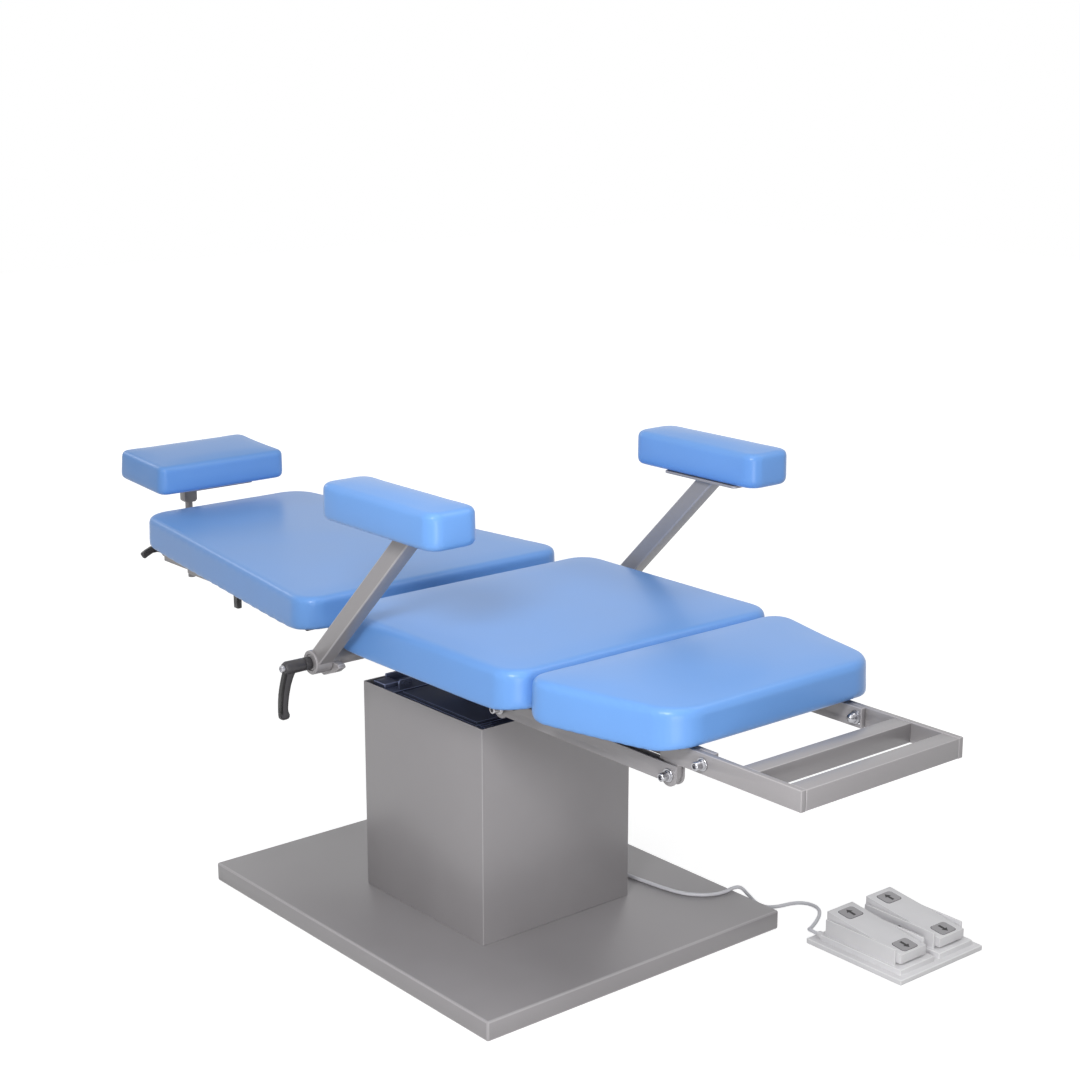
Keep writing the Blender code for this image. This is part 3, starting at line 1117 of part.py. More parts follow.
def build_chair():
    """All the pieces, each on the empty of the body that it moves with."""
    clear_scene()
    looks = make_looks()
    chair = Body("chair", (0.0, 0.0, 0.0))
    build_base(chair, looks)
    build_cord(chair, looks)
    build_pedal(chair, looks)

    carriage = Body("carriage_lift", (0.0, COLUMN_Y, SADDLE_TOP), chair)
    build_column_head(carriage, looks)
    build_seat(carriage, looks)
    build_drive(carriage, looks)
    build_link(carriage, *LINK_SIDE, looks)
    for name, side in SIDES:
        build_arm(carriage, name, side, looks)

    backrest = Body("back_hinge", (0.0, *HINGE), carriage)
    build_back(backrest, looks)
    build_sync_rod(backrest, looks)
    build_headrest(backrest, looks)

    leg = Body("leg_hinge", (0.0, *LEG_PIVOT), carriage)
    build_leg_section(leg, looks)
    footrest = Body("footrest_hinge", (0.0, *FOOTREST_PIVOT), leg)
    build_footrest(footrest, looks)


build_chair()
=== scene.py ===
"""Dresses the solids of an ear, nose and throat examination chair.

Cushions, painted metalwork, clamp levers, fasteners, the foot pedal and its cord are modelled round the
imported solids, and a white studio stage is set up at the photograph's angle.
"""

import json
import math
from collections import namedtuple

import bmesh
import bpy
import numpy
from mathutils import Matrix, Vector

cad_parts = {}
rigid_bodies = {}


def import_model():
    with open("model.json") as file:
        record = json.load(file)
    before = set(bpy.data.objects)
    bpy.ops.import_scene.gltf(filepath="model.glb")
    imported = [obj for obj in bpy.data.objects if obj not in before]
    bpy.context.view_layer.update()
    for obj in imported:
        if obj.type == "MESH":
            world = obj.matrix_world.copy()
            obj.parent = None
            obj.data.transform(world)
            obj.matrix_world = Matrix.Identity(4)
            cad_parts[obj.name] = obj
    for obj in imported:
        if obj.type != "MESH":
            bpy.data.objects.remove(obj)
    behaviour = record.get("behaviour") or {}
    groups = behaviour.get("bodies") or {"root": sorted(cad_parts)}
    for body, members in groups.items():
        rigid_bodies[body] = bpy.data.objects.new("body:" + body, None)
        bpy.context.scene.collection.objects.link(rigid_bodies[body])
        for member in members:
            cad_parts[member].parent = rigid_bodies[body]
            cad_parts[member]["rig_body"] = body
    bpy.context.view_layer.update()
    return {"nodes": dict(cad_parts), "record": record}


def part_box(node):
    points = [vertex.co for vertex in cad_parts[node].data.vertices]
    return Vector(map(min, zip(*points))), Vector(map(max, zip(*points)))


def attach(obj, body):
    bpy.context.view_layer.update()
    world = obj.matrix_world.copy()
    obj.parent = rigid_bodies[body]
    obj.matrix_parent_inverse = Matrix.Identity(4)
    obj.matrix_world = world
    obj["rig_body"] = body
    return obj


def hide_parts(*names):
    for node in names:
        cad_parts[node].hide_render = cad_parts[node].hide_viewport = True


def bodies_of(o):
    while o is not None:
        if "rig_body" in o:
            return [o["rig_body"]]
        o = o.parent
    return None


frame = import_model()

bl_info = {
    "name": "Examination chair",
    "version": (1, 0, 0),
    "blender": (4, 5, 0),
    "location": "View3D > Sidebar > Chair",
    "description": "Dresses an ear, nose and throat chair round its packed solids",
    "category": "Object",
}

SLOTS = {part["node"]: part["material_slot"] for part in frame["record"]["subparts"]}
SIDES = (("right", -1.0), ("left", 1.0))
HINGE = Vector((0.0, 0.045, 0.4735))
ROUND_STEPS = 48
WELD = 1e-6
NODE_WELD = 1e-5
FLAT_ANGLE = math.radians(0.5)
# The attribute on rounded edge strips that the finishes paint with a highlight
EDGE_MARK = "rounded_edge"
FINISHES = {}
GRAIN_TURN = (0.6, 0.4, 0.3)
COAT_ROUGHNESS = 0.2
USUAL_NOISE = (0.3, 0.7)
# The colour sockets of Blender's Mix node
MIX_FACTOR, MIX_FIRST, MIX_SECOND, MIX_RESULT = 0, 6, 7, 2


def linear(red, green, blue):
    """A colour given as 0 to 255 display values, as Blender's shaders take it."""
    shares = [level / 255 for level in (red, green, blue)]
    return tuple(s / 12.92 if s <= 0.04045 else ((s + 0.055) / 1.055) ** 2.4 for s in shares)


def colour_property(label, description, default):
    """A colour that the user may change."""
    return bpy.props.FloatVectorProperty(
        name=label, description=description, subtype="COLOR", size=3, min=0.0, max=1.0, default=default
    )


def length_property(label, description, default):
    """A length in metres that the user may change."""
    return bpy.props.FloatProperty(
        name=label, description=description, subtype="DISTANCE", unit="LENGTH", min=0.0, precision=4, default=default
    )


def number_property(label, description, default):
    """A plain number that the user may change."""
    return bpy.props.FloatProperty(name=label, description=description, min=0.0, default=default)


class ChairColours(bpy.types.PropertyGroup):
    """The colours of the chair's finishes."""

    vinyl: colour_property("Vinyl", "Blue upholstery vinyl", linear(109, 159, 225))
    paint: colour_property("Paint", "Grey satin paint on the frame", linear(153, 150, 152))
    # Painted light: this colour is lighter than the dark steel itself, to make up for the little light inside the
    # shroud's mouth.
    mechanism: colour_property("Mechanism", "Dark steel inside the shroud", linear(104, 111, 136))
    lever: colour_property("Levers", "Dark plastic of the clamp levers", linear(56, 54, 57))
    bright: colour_property("Bolts", "Plated fasteners", linear(176, 176, 180))
    pedal: colour_property("Pedal", "Pale plastic of the foot pedal", linear(228, 227, 229))
    pads: colour_property("Pedal pads", "Grey rubber pads on the rockers", linear(168, 166, 169))
    arrows: colour_property("Arrows", "Dark arrows on the pedal pads", linear(42, 41, 43))
    cord: colour_property("Cord", "Pale jacket of the pedal cord", linear(216, 216, 221))
    board: colour_property("Boards", "Dark boards under the cushions", linear(58, 60, 68))


class ChairSizes(bpy.types.PropertyGroup):
    """The sizes that shape the dressed pieces."""

    cushion_voxel: length_property("Cushion voxel", "Remesh size of a cushion", 0.0048)
    cushion_swell: length_property("Cushion swell", "How far a cushion may swell", 0.0025)
    cushion_inset: length_property("Cushion inset", "How much smaller a cushion starts", 0.0015)
    cushion_crown: length_property("Cushion crown", "Rise at the middle of a cushion's top", 0.004)
    cushion_lip: length_property("Cushion lip", "How far a cushion's side edges hang below it", 0.008)
    cord_diameter: length_property("Cord", "Outside diameter of the pedal cord", 0.006)


class ChairStage(bpy.types.PropertyGroup):
    """The studio round the chair."""

    lens: number_property("Lens", "Focal length of the camera in millimetres", 67.367)
    key: number_property("Key light", "Power of the light at the near side, in watts", 30.0)
    low: number_property("Low light", "Power of the light near the floor, in watts", 11.0)
    top: number_property("Top light", "Power of the light from above, in watts", 9.0)
    edge: number_property("Edge light", "Power of the light that glints on the foot edges, in watts", 6.0)
    rim: number_property("Rim light", "Power of the light that glints on the near edges, in watts", 6.0)
    ambient: number_property("Ambient", "Strength of the even light all round", 0.39)
    floor: number_property("Floor", "White that the camera adds to the floor near the chair", 0.80)


def sizes():
    """The chosen sizes."""
    return bpy.context.scene.chair_sizes


def wander(tree, coordinates, scale, detail):
    """Noise over the piece, mostly from 0.3 to 0.7."""
    noise = tree.nodes.new("ShaderNodeTexNoise")
    noise.inputs["Scale"].default_value = scale
    noise.inputs["Detail"].default_value = detail
    tree.links.new(coordinates, noise.inputs["Vector"])
    return noise.outputs["Fac"]


def ranged(tree, value, taken, given, clamp=True):
    """A value moved from one range to another."""
    node = tree.nodes.new("ShaderNodeMapRange")
    node.clamp = clamp
    for name, limit in zip(("From Min", "From Max", "To Min", "To Max"), taken + given):
        node.inputs[name].default_value = limit
    tree.links.new(value, node.inputs["Value"])
    return node.outputs["Result"]


def mixed(tree, factor, first, second, blend="MIX"):
    """Two colours mixed by a factor. Each of the three may be a socket."""
    node = tree.nodes.new("ShaderNodeMix")
    node.data_type = "RGBA"
    node.blend_type = blend
    for place, value in ((MIX_FACTOR, factor), (MIX_FIRST, first), (MIX_SECOND, second)):
        if isinstance(value, bpy.types.NodeSocket):
            tree.links.new(value, node.inputs[place])
        else:
            node.inputs[place].default_value = value if place == MIX_FACTOR else (*value, 1.0)
    return node.outputs[MIX_RESULT]


def combined(tree, operation, first, second, clamp=False):
    """Two values added or multiplied."""
    node = tree.nodes.new("ShaderNodeMath")
    node.operation = operation
    node.use_clamp = clamp
    tree.links.new(first, node.inputs[0])
    tree.links.new(second, node.inputs[1])
    return node.outputs[0]


def shade(colour, share):
    """A colour made lighter or darker."""
    return tuple(min(1.0, level * share) for level in colour)


def finish(name, colour, metallic=0.0, roughness=(0.4, 0.5), clouds=(7.0, 0.05), grain=(900.0, 3e-5), edge_highlight=0.0,
           cells=False, coat=0.0, gloss=0.5, highlight_share=1.5):
    """A procedural finish: slow drift and fine speckle of the colour, grain in the surface, and a painted highlight on
    the rounded edges.
    """
    material = bpy.data.materials.new(f"{name}_finish")
    FINISHES[name] = material
    material.use_nodes = True
    tree = material.node_tree
    shader = tree.nodes["Principled BSDF"]
    turned = tree.nodes.new("ShaderNodeMapping")
    turned.inputs["Rotation"].default_value = GRAIN_TURN
    tree.links.new(tree.nodes.new("ShaderNodeTexCoord").outputs["Object"], turned.inputs["Vector"])
    place = turned.outputs["Vector"]
    cloud_scale, spread = clouds
    grain_scale, grain_depth = grain
    drift = wander(tree, place, cloud_scale, 3.0)
    speckle = wander(tree, place, grain_scale, 2.0)
    tone = mixed(tree, drift, shade(colour, 1.0 - 2.5 * spread), shade(colour, 1.0 + 2.5 * spread))
    flecks = mixed(tree, speckle, (1.0 - 1.75 * spread,) * 3, (1.0 + 0.75 * spread,) * 3)
    final = mixed(tree, 1.0, tone, flecks, "MULTIPLY")
    # Painted highlight: the rounded edge strips are mixed towards a lighter copy of the colour, standing in for light
    # caught on the edges.
    if edge_highlight:
        mark = tree.nodes.new("ShaderNodeAttribute")
        mark.attribute_name = EDGE_MARK
        edge = ranged(tree, mark.outputs["Fac"], (0.0, 1.0), (0.0, edge_highlight))
        final = mixed(tree, edge, final, shade(colour, highlight_share))
    tree.links.new(final, shader.inputs["Base Color"])
    rough = ranged(tree, drift, USUAL_NOISE, roughness, clamp=False)
    tree.links.new(rough, shader.inputs["Roughness"])
    shader.inputs["Metallic"].default_value = metallic
    shader.inputs["Specular IOR Level"].default_value = gloss
    shader.inputs["Coat Weight"].default_value = coat
    shader.inputs["Coat Roughness"].default_value = COAT_ROUGHNESS
    height = speckle
    if cells:
        texture = tree.nodes.new("ShaderNodeTexVoronoi")
        texture.inputs["Scale"].default_value = grain_scale / 2
        tree.links.new(place, texture.inputs["Vector"])
        height = texture.outputs["Distance"]
    bump = tree.nodes.new("ShaderNodeBump")
    bump.inputs["Distance"].default_value = grain_depth
    tree.links.new(height, bump.inputs["Height"])
    tree.links.new(bump.outputs["Normal"], shader.inputs["Normal"])


def make_finishes(chosen):
    """Every finish, named for its slot in the record. The pedal's pads and arrows have looks of their own."""
    # The edge settings give each finish a painted highlight on its rounded edges; the dark steel's is the strongest, at
    # three times its colour.
    finish("blue_vinyl", chosen.vinyl, roughness=(0.30, 0.35), clouds=(5.0, 0.03), grain=(1100.0, 2e-5), cells=True,
           coat=0.08, gloss=0.27)
    finish("grey_paint", chosen.paint, metallic=0.15, roughness=(0.36, 0.46), clouds=(6.0, 0.035),
           grain=(1300.0, 2e-5), edge_highlight=0.7, coat=0.05)
    finish("dark_steel", chosen.mechanism, metallic=0.35, roughness=(0.36, 0.5), clouds=(12.0, 0.08),
           grain=(700.0, 4e-5), edge_highlight=0.9, highlight_share=3.0)
    finish("plain_steel", shade(chosen.bright, 0.62), metallic=0.8, roughness=(0.32, 0.42), clouds=(15.0, 0.07),
           grain=(600.0, 2e-5), edge_highlight=0.2)
    finish("bright_bolt", chosen.bright, metallic=1.0, roughness=(0.29, 0.34), clouds=(60.0, 0.05),
           grain=(1500.0, 1e-5), edge_highlight=0.1)
    finish("dark_lever", chosen.lever, roughness=(0.30, 0.38), clouds=(25.0, 0.05), grain=(1400.0, 4e-5), edge_highlight=0.25)
    finish("dark_plastic", shade(chosen.lever, 0.75), roughness=(0.45, 0.55), clouds=(14.0, 0.06),
           grain=(1200.0, 6e-5))
    finish("pale_plastic", chosen.pedal, roughness=(0.34, 0.44), clouds=(16.0, 0.025), grain=(1300.0, 3e-5),
           edge_highlight=0.5)
    finish("pad_rubber", chosen.pads, roughness=(0.55, 0.68), clouds=(25.0, 0.04), grain=(900.0, 8e-5))
    finish("arrow_ink", chosen.arrows, roughness=(0.5, 0.6), clouds=(40.0, 0.06), grain=(1200.0, 3e-5))
    finish("cord_jacket", chosen.cord, roughness=(0.42, 0.52), clouds=(30.0, 0.03), grain=(1500.0, 4e-5))
    finish("board", chosen.board, roughness=(0.55, 0.66), clouds=(9.0, 0.08), grain=(800.0, 8e-5))


def placed(name, data):
    """A new object in the scene."""
    item = bpy.data.objects.new(name, data)
    bpy.context.scene.collection.objects.link(item)
    return item


def as_mesh(name, solid):
    """A finished shape as mesh data."""
    mesh = bpy.data.meshes.new(name)
    solid.to_mesh(mesh)
    solid.free()
    return mesh


def piece(name, solid, body, slot, stands_for=(), look=None, crease=28.0):
    """Turns a finished mesh into a piece that rides on a body, in the finish of its slot."""
    mesh = as_mesh(name, solid)
    mesh.shade_smooth()
    mesh.set_sharp_from_angle(angle=math.radians(crease))
    item = placed(name, mesh)
    mesh.materials.append(FINISHES[look or slot])
    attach(item, body)
    if stands_for:
        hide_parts(*stands_for)
    return item


def round_edges(solid, width, segments=2, angle=30.0, edges=None):
    """Rounds the sharp edges of a mesh, or the edges that are given, and marks the strips that this makes for the
    painted edge highlight.
    """
    layers = solid.faces.layers.float
    mark = layers.get(EDGE_MARK) or layers.new(EDGE_MARK)
    if edges is None:
        limit = math.radians(angle)
        edges = [edge for edge in solid.edges if edge.is_manifold and edge.calc_face_angle() > limit]
    made = bmesh.ops.bevel(solid, geom=edges, offset=width, segments=segments, profile=0.5, affect="EDGES",
                           clamp_overlap=True, material=-1)
    for face in made["faces"]:
        face[mark] = 1.0
    return solid


def upright_edges(solid):
    """The edges of a block that stand up."""
    return [edge for edge in solid.edges if abs(edge.verts[0].co.z - edge.verts[1].co.z) > NODE_WELD]


def block(low, high, edge=0.0, segments=2):
    """A box between two corners, with rounded edges."""
    solid = bmesh.new()
    bmesh.ops.create_cube(solid, size=1.0)
    low, high = Vector(low), Vector(high)
    bmesh.ops.scale(solid, vec=high - low, verts=solid.verts)
    bmesh.ops.translate(solid, vec=(high + low) / 2, verts=solid.verts)
    if edge:
        round_edges(solid, edge, segments)
    return solid


AXES = {"X": Vector((1, 0, 0)), "Y": Vector((0, 1, 0)), "Z": Vector((0, 0, 1))}
ACROSS = {"X": Vector((0, 1, 0)), "Y": Vector((0, 0, 1)), "Z": Vector((1, 0, 0))}


def lathe(axis, centre, profile, steps=ROUND_STEPS):
    """A turned shape, from (place along the axis, radius) pairs."""
    solid = bmesh.new()
    along, out = AXES[axis], ACROSS[axis]
    centre = Vector(centre)
    ring = [solid.verts.new(centre + along * place + out * radius) for place, radius in profile]
    chain = [solid.edges.new(pair) for pair in zip(ring, ring[1:])]
    bmesh.ops.spin(solid, geom=ring + chain, cent=centre, axis=along, angle=2 * math.pi, steps=steps,
                   use_merge=True, use_duplicate=False)
    bmesh.ops.remove_doubles(solid, verts=solid.verts, dist=WELD)
    bmesh.ops.recalc_face_normals(solid, faces=solid.faces)
    return solid


def sided(profile, side):
    """A turned profile put on one side of the chair."""
    return [(side * along, radius) for along, radius in profile]


def of_kind(grown, kind):
    """The vertices or faces that an extrusion made."""
    return [item for item in grown["geom"] if isinstance(item, kind)]


def slab(axis, outline, limits, edge=0.0, segments=2, angle=30.0):
    """A flat outline pulled out along an axis, with rounded edges. The outline leaves that axis out."""
    solid = bmesh.new()
    start, end = limits
    order = {"X": lambda u, v, w: (w, u, v), "Y": lambda u, v, w: (u, w, v), "Z": lambda u, v, w: (u, v, w)}[axis]
    ring = [solid.verts.new(order(u, v, start)) for u, v in outline]
    grown = bmesh.ops.extrude_face_region(solid, geom=[solid.faces.new(ring)])
    moved = of_kind(grown, bmesh.types.BMVert)
    bmesh.ops.translate(solid, vec=AXES[axis] * (end - start), verts=moved)
    bmesh.ops.recalc_face_normals(solid, faces=solid.faces)
    if edge:
        round_edges(solid, edge, segments, angle)
    return solid


SQUARE = Matrix.Rotation(math.pi / 4, 4, "Z") @ Matrix.Diagonal((math.sqrt(2), math.sqrt(2), 1.0, 1.0))


def boxy_bar(stations, edge):
    """A square bar with rounded edges, drawn through stations, each a matrix that shapes a 2 by 2 square."""
    return round_edges(swept([station @ SQUARE for station in stations], 4), edge, 4, 40.0)


def swept(stations, sides=24):
    """A bar drawn through stations, each a matrix that places and shapes a unit circle."""
    solid = bmesh.new()
    bmesh.ops.create_circle(solid, cap_ends=True, radius=1.0, segments=sides, matrix=stations[0])
    cap = solid.faces[:][0]
    for before, after in zip(stations, stations[1:]):
        grown = bmesh.ops.extrude_face_region(solid, geom=[cap])
        cap = of_kind(grown, bmesh.types.BMFace)[0]
        moved = of_kind(grown, bmesh.types.BMVert)
        bmesh.ops.transform(solid, matrix=after @ before.inverted(), verts=moved)
    bmesh.ops.recalc_face_normals(solid, faces=solid.faces)
    return solid


def merge(*parts):
    """Several meshes as one."""
    whole = bmesh.new()
    for part in parts:
        carried = as_mesh("carried", part)
        whole.from_mesh(carried)
        bpy.data.meshes.remove(carried)
    return whole


def node_copy(node):
    """A clean copy of a solid's mesh, with its flat faces whole again."""
    solid = bmesh.new()
    solid.from_mesh(frame["nodes"][node].data)
    bmesh.ops.remove_doubles(solid, verts=solid.verts, dist=NODE_WELD)
    bmesh.ops.dissolve_limit(solid, angle_limit=FLAT_ANGLE, verts=solid.verts, edges=solid.edges)
    return solid


def body_of(node):
    """The body that a solid rides on."""
    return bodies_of(frame["nodes"][node])[0]


def dress(node, width):
    """Stands a copy of a solid with rounded edges in its place."""
    solid = round_edges(node_copy(node), width)
    return piece(f"{node}_dressed", solid, body_of(node), SLOTS[node], (node,))


CAMERA_PLACE = (-1.9315, -2.4629, 1.4117)
CAMERA_TURN = (math.radians(90.0 - 14.0897), 0.0, math.radians(-39.631))
SENSOR_WIDTH = 36.0
# setting that holds the lamp's power: place, size
LAMPS = {
    "key": ((-1.6, -1.35, 1.75), 0.5),
    "low": ((-1.2, -2.0, 0.4), 0.7),
    "top": ((-0.3, -0.8, 2.6), 1.2),
    "edge": ((1.2, -0.9, 2.4), 0.65),
    "rim": ((-0.6, 3.0, 1.9), 0.65),
}
LAMP_AIM = Vector((0.0, -0.05, 0.4))
FLOOR_HALF = 9.0
FLOOR_GREY = (0.45, 0.45, 0.45, 1.0)
# distances from the chair between which the floor turns white
FLOOR_FADE = (1.2, 4.0)


class CHAIR_OT_stage(bpy.types.Operator):
    """Sets up the camera, the white floor and background, and the soft lights"""

    bl_idname = "chair.stage"
    bl_label = "Stage"

    def execute(self, context):
        scene = context.scene
        chosen = scene.chair_stage
        scene.view_settings.view_transform = "Standard"
        camera = bpy.data.cameras.new("camera")
        camera.lens = chosen.lens
        camera.sensor_width = SENSOR_WIDTH
        view = placed("camera", camera)
        view.location = CAMERA_PLACE
        view.rotation_euler = CAMERA_TURN
        scene.camera = view
        self.background(scene, chosen.ambient)
        self.floor(chosen.floor)
        for name, (place, size) in LAMPS.items():
            self.lamp(f"{name}_light", place, size, getattr(chosen, name))
        return {"FINISHED"}

    def seen(self, tree):
        """1 for the rays that show the background: straight, mirrored or through glass."""
        path = tree.nodes.new("ShaderNodeLightPath")
        total = path.outputs["Is Camera Ray"]
        for name in ("Is Glossy Ray", "Is Transmission Ray"):
            total = combined(tree, "ADD", total, path.outputs[name], clamp=True)
        return total

    def background(self, scene, ambient):
        """A white world that lights the chair evenly."""
        world = bpy.data.worlds.new("studio")
        scene.world = world
        world.use_nodes = True
        tree = world.node_tree
        tree.nodes.clear()
        mix = tree.nodes.new("ShaderNodeMixShader")
        tree.links.new(self.seen(tree), mix.inputs[0])
        for place, strength in ((1, ambient), (2, 1.0)):
            light = tree.nodes.new("ShaderNodeBackground")
            light.inputs["Color"].default_value = (1.0, 1.0, 1.0, 1.0)
            light.inputs["Strength"].default_value = strength
            tree.links.new(light.outputs[0], mix.inputs[place])
        output = tree.nodes.new("ShaderNodeOutputWorld")
        tree.links.new(mix.outputs[0], output.inputs["Surface"])

    def floor(self, white):
        """A pale floor that reads white and still takes the chair's shadow."""
        solid = bmesh.new()
        bmesh.ops.create_grid(solid, x_segments=1, y_segments=1, size=FLOOR_HALF)
        item = placed("floor", as_mesh("floor", solid))
        material = bpy.data.materials.new("floor_white")
        material.use_nodes = True
        tree = material.node_tree
        tree.nodes.clear()
        matt = tree.nodes.new("ShaderNodeBsdfDiffuse")
        matt.inputs["Color"].default_value = FLOOR_GREY
        glow = tree.nodes.new("ShaderNodeEmission")
        reach = tree.nodes.new("ShaderNodeVectorMath")
        reach.operation = "LENGTH"
        tree.links.new(tree.nodes.new("ShaderNodeTexCoord").outputs["Object"], reach.inputs[0])
        level = ranged(tree, reach.outputs["Value"], FLOOR_FADE, (white, 1.0))
        tree.links.new(combined(tree, "MULTIPLY", self.seen(tree), level), glow.inputs["Strength"])
        both = tree.nodes.new("ShaderNodeAddShader")
        tree.links.new(matt.outputs[0], both.inputs[0])
        tree.links.new(glow.outputs[0], both.inputs[1])
        output = tree.nodes.new("ShaderNodeOutputMaterial")
        tree.links.new(both.outputs[0], output.inputs["Surface"])
        item.data.materials.append(material)

    def lamp(self, name, place, size, power):
        """A soft square lamp that faces the chair."""
        data = bpy.data.lights.new(name, "AREA")
        data.size = size
        data.energy = power
        item = placed(name, data)
        item.location = place
        item.visible_camera = False
        item.rotation_euler = (LAMP_AIM - Vector(place)).to_track_quat("-Z", "Y").to_euler()


class CHAIR_OT_finishes(bpy.types.Operator):
    """Makes the finishes and paints every solid with its own"""

    bl_idname = "chair.finishes"
    bl_label = "Finishes"

    def execute(self, context):
        make_finishes(context.scene.chair_colours)
        for name, item in frame["nodes"].items():
            if not item.material_slots:
                item.data.materials.append(None)
            for slot in item.material_slots:
                slot.material = FINISHES[SLOTS[name]]
        return {"FINISHED"}


CORD_ROUTE = (
    (0.1666, -0.060, 0.050), (0.1766, -0.060, 0.050), (0.187, -0.069, 0.0445), (0.195, -0.086, 0.0385),
    (0.2005, -0.108, 0.0358), (0.203, -0.135, 0.0353), (0.207, -0.165, 0.0353), (0.2125, -0.200, 0.0353),
    (0.221, -0.230, 0.0353), (0.2365, -0.253, 0.0353), (0.258, -0.268, 0.0353), (0.282, -0.2725, 0.0353),
    (0.298, -0.272, 0.0362), (0.312, -0.275, 0.0345), (0.324, -0.282, 0.021), (0.332, -0.294, 0.008),
    (0.340, -0.308, 0.0036), (0.352, -0.318, 0.0034), (0.367, -0.323, 0.0034), (0.384, -0.3275, 0.0034),
    (0.398, -0.337, 0.0034), (0.4045, -0.353, 0.0034), (0.400, -0.371, 0.0034), (0.387, -0.385, 0.0034),
    (0.369, -0.397, 0.0034), (0.350, -0.407, 0.0036), (0.333, -0.4155, 0.0055), (0.321, -0.4235, 0.0100),
    (0.3145, -0.432, 0.0136), (0.3125, -0.4417, 0.0145), (0.3125, -0.4517, 0.0145),
)
GLAND_PLAY = 0.0002
GLAND_FLANGE = 0.003
GLAND_NECK = 0.0034
GLAND_STEP = 0.0018
GLAND_GROOVE = 0.0009
GLAND_RIBS = 4


class CHAIR_OT_cord(bpy.types.Operator):
    """Lays the pedal's cord from the shroud to the pedal, with its gland"""

    bl_idname = "chair.cord"
    bl_label = "Cord"

    def execute(self, context):
        diameter = sizes().cord_diameter
        line = bpy.data.curves.new("pedal_cord", "CURVE")
        line.dimensions = "3D"
        line.bevel_depth = diameter / 2
        line.bevel_resolution = 5
        line.resolution_u = 6
        line.use_fill_caps = True
        run = line.splines.new("BEZIER")
        run.bezier_points.add(len(CORD_ROUTE) - 1)
        for point, place in zip(run.bezier_points, CORD_ROUTE):
            point.co = place
            point.handle_left_type = point.handle_right_type = "AUTO"
        cord = placed("pedal_cord", line)
        line.materials.append(FINISHES["cord_jacket"])
        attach(cord, "base")
        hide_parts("cord")
        gland = self.gland()
        return {"FINISHED"}

    def gland(self):
        """The ribbed strain relief where the cord leaves the shroud."""
        low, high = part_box("shroud_gland")
        length = high.x - low.x
        centre = (low.x, (low.y + high.y) / 2, (low.z + high.z) / 2)
        foot = (high.z - low.z) / 2
        bore = sizes().cord_diameter / 2 + GLAND_PLAY
        profile = [(0.0, bore), (0.0, foot), (GLAND_FLANGE, foot), (GLAND_NECK, foot - GLAND_STEP)]
        pitch = (length - GLAND_NECK) / GLAND_RIBS
        for rib in range(GLAND_RIBS):
            start = GLAND_NECK + (length - GLAND_NECK) * rib / GLAND_RIBS
            thick = foot - GLAND_STEP - GLAND_STEP * rib / GLAND_RIBS
            profile += [(start + 0.55 * pitch, thick), (start + 0.6 * pitch, thick - GLAND_GROOVE),
                        (start + 0.95 * pitch, thick - GLAND_GROOVE), (start + pitch, thick - GLAND_PLAY)]
        profile += [(length, bore), (0.0, bore)]
        return piece("shroud_gland_dressed", lathe("X", centre, profile), "base", "cord_jacket", ("shroud_gland",))


# y of its two ends, half widths there, low and top z, rounding of corners and edges, x of its middle
CushionShape = namedtuple("CushionShape", "foot head foot_half head_half low top corner top_edge low_edge middle")
CUSHIONS = {
    "seat_cushion": CushionShape(-0.390, 0.067, 0.267, 0.267, 0.4916, 0.551, 0.046, 0.012, 0.006, 0.0),
    "leg_cushion": CushionShape(-0.6545, -0.3915, 0.198, 0.264, 0.4916, 0.5505, 0.047, 0.011, 0.006, 0.0),
    "back_cushion": CushionShape(0.122, 0.823, 0.276, 0.177, 0.4916, 0.547, 0.049, 0.010, 0.006, 0.0),
    "head_cushion": CushionShape(0.8083, 0.9763, 0.138, 0.138, 0.5823, 0.6383, 0.017, 0.009, 0.009, 0.0),
    "arm_pad_right": CushionShape(-0.328, -0.046, 0.046, 0.046, 0.7245, 0.7805, 0.024, 0.009, 0.009, -0.309),
    "arm_pad_left": CushionShape(-0.328, -0.046, 0.046, 0.046, 0.7245, 0.7805, 0.024, 0.009, 0.009, 0.309),
}
HEAD_PIVOT = Vector((0.0, 0.948, 0.556))
HEAD_TILT = math.radians(3.6)
SMALL_CUSHIONS = ("head_cushion", "arm_pad_right", "arm_pad_left")
FOOT_ROUND = 0.018
LIP_WIDTH = 0.022
LOW_RIM = 0.010
SEATED_RIM = 0.006
WAIST = 0.0008
SMALL_VOXEL_SHARE = 0.7
SWELL_STEPS = 20
SWELL_PRESSURE = 4.0


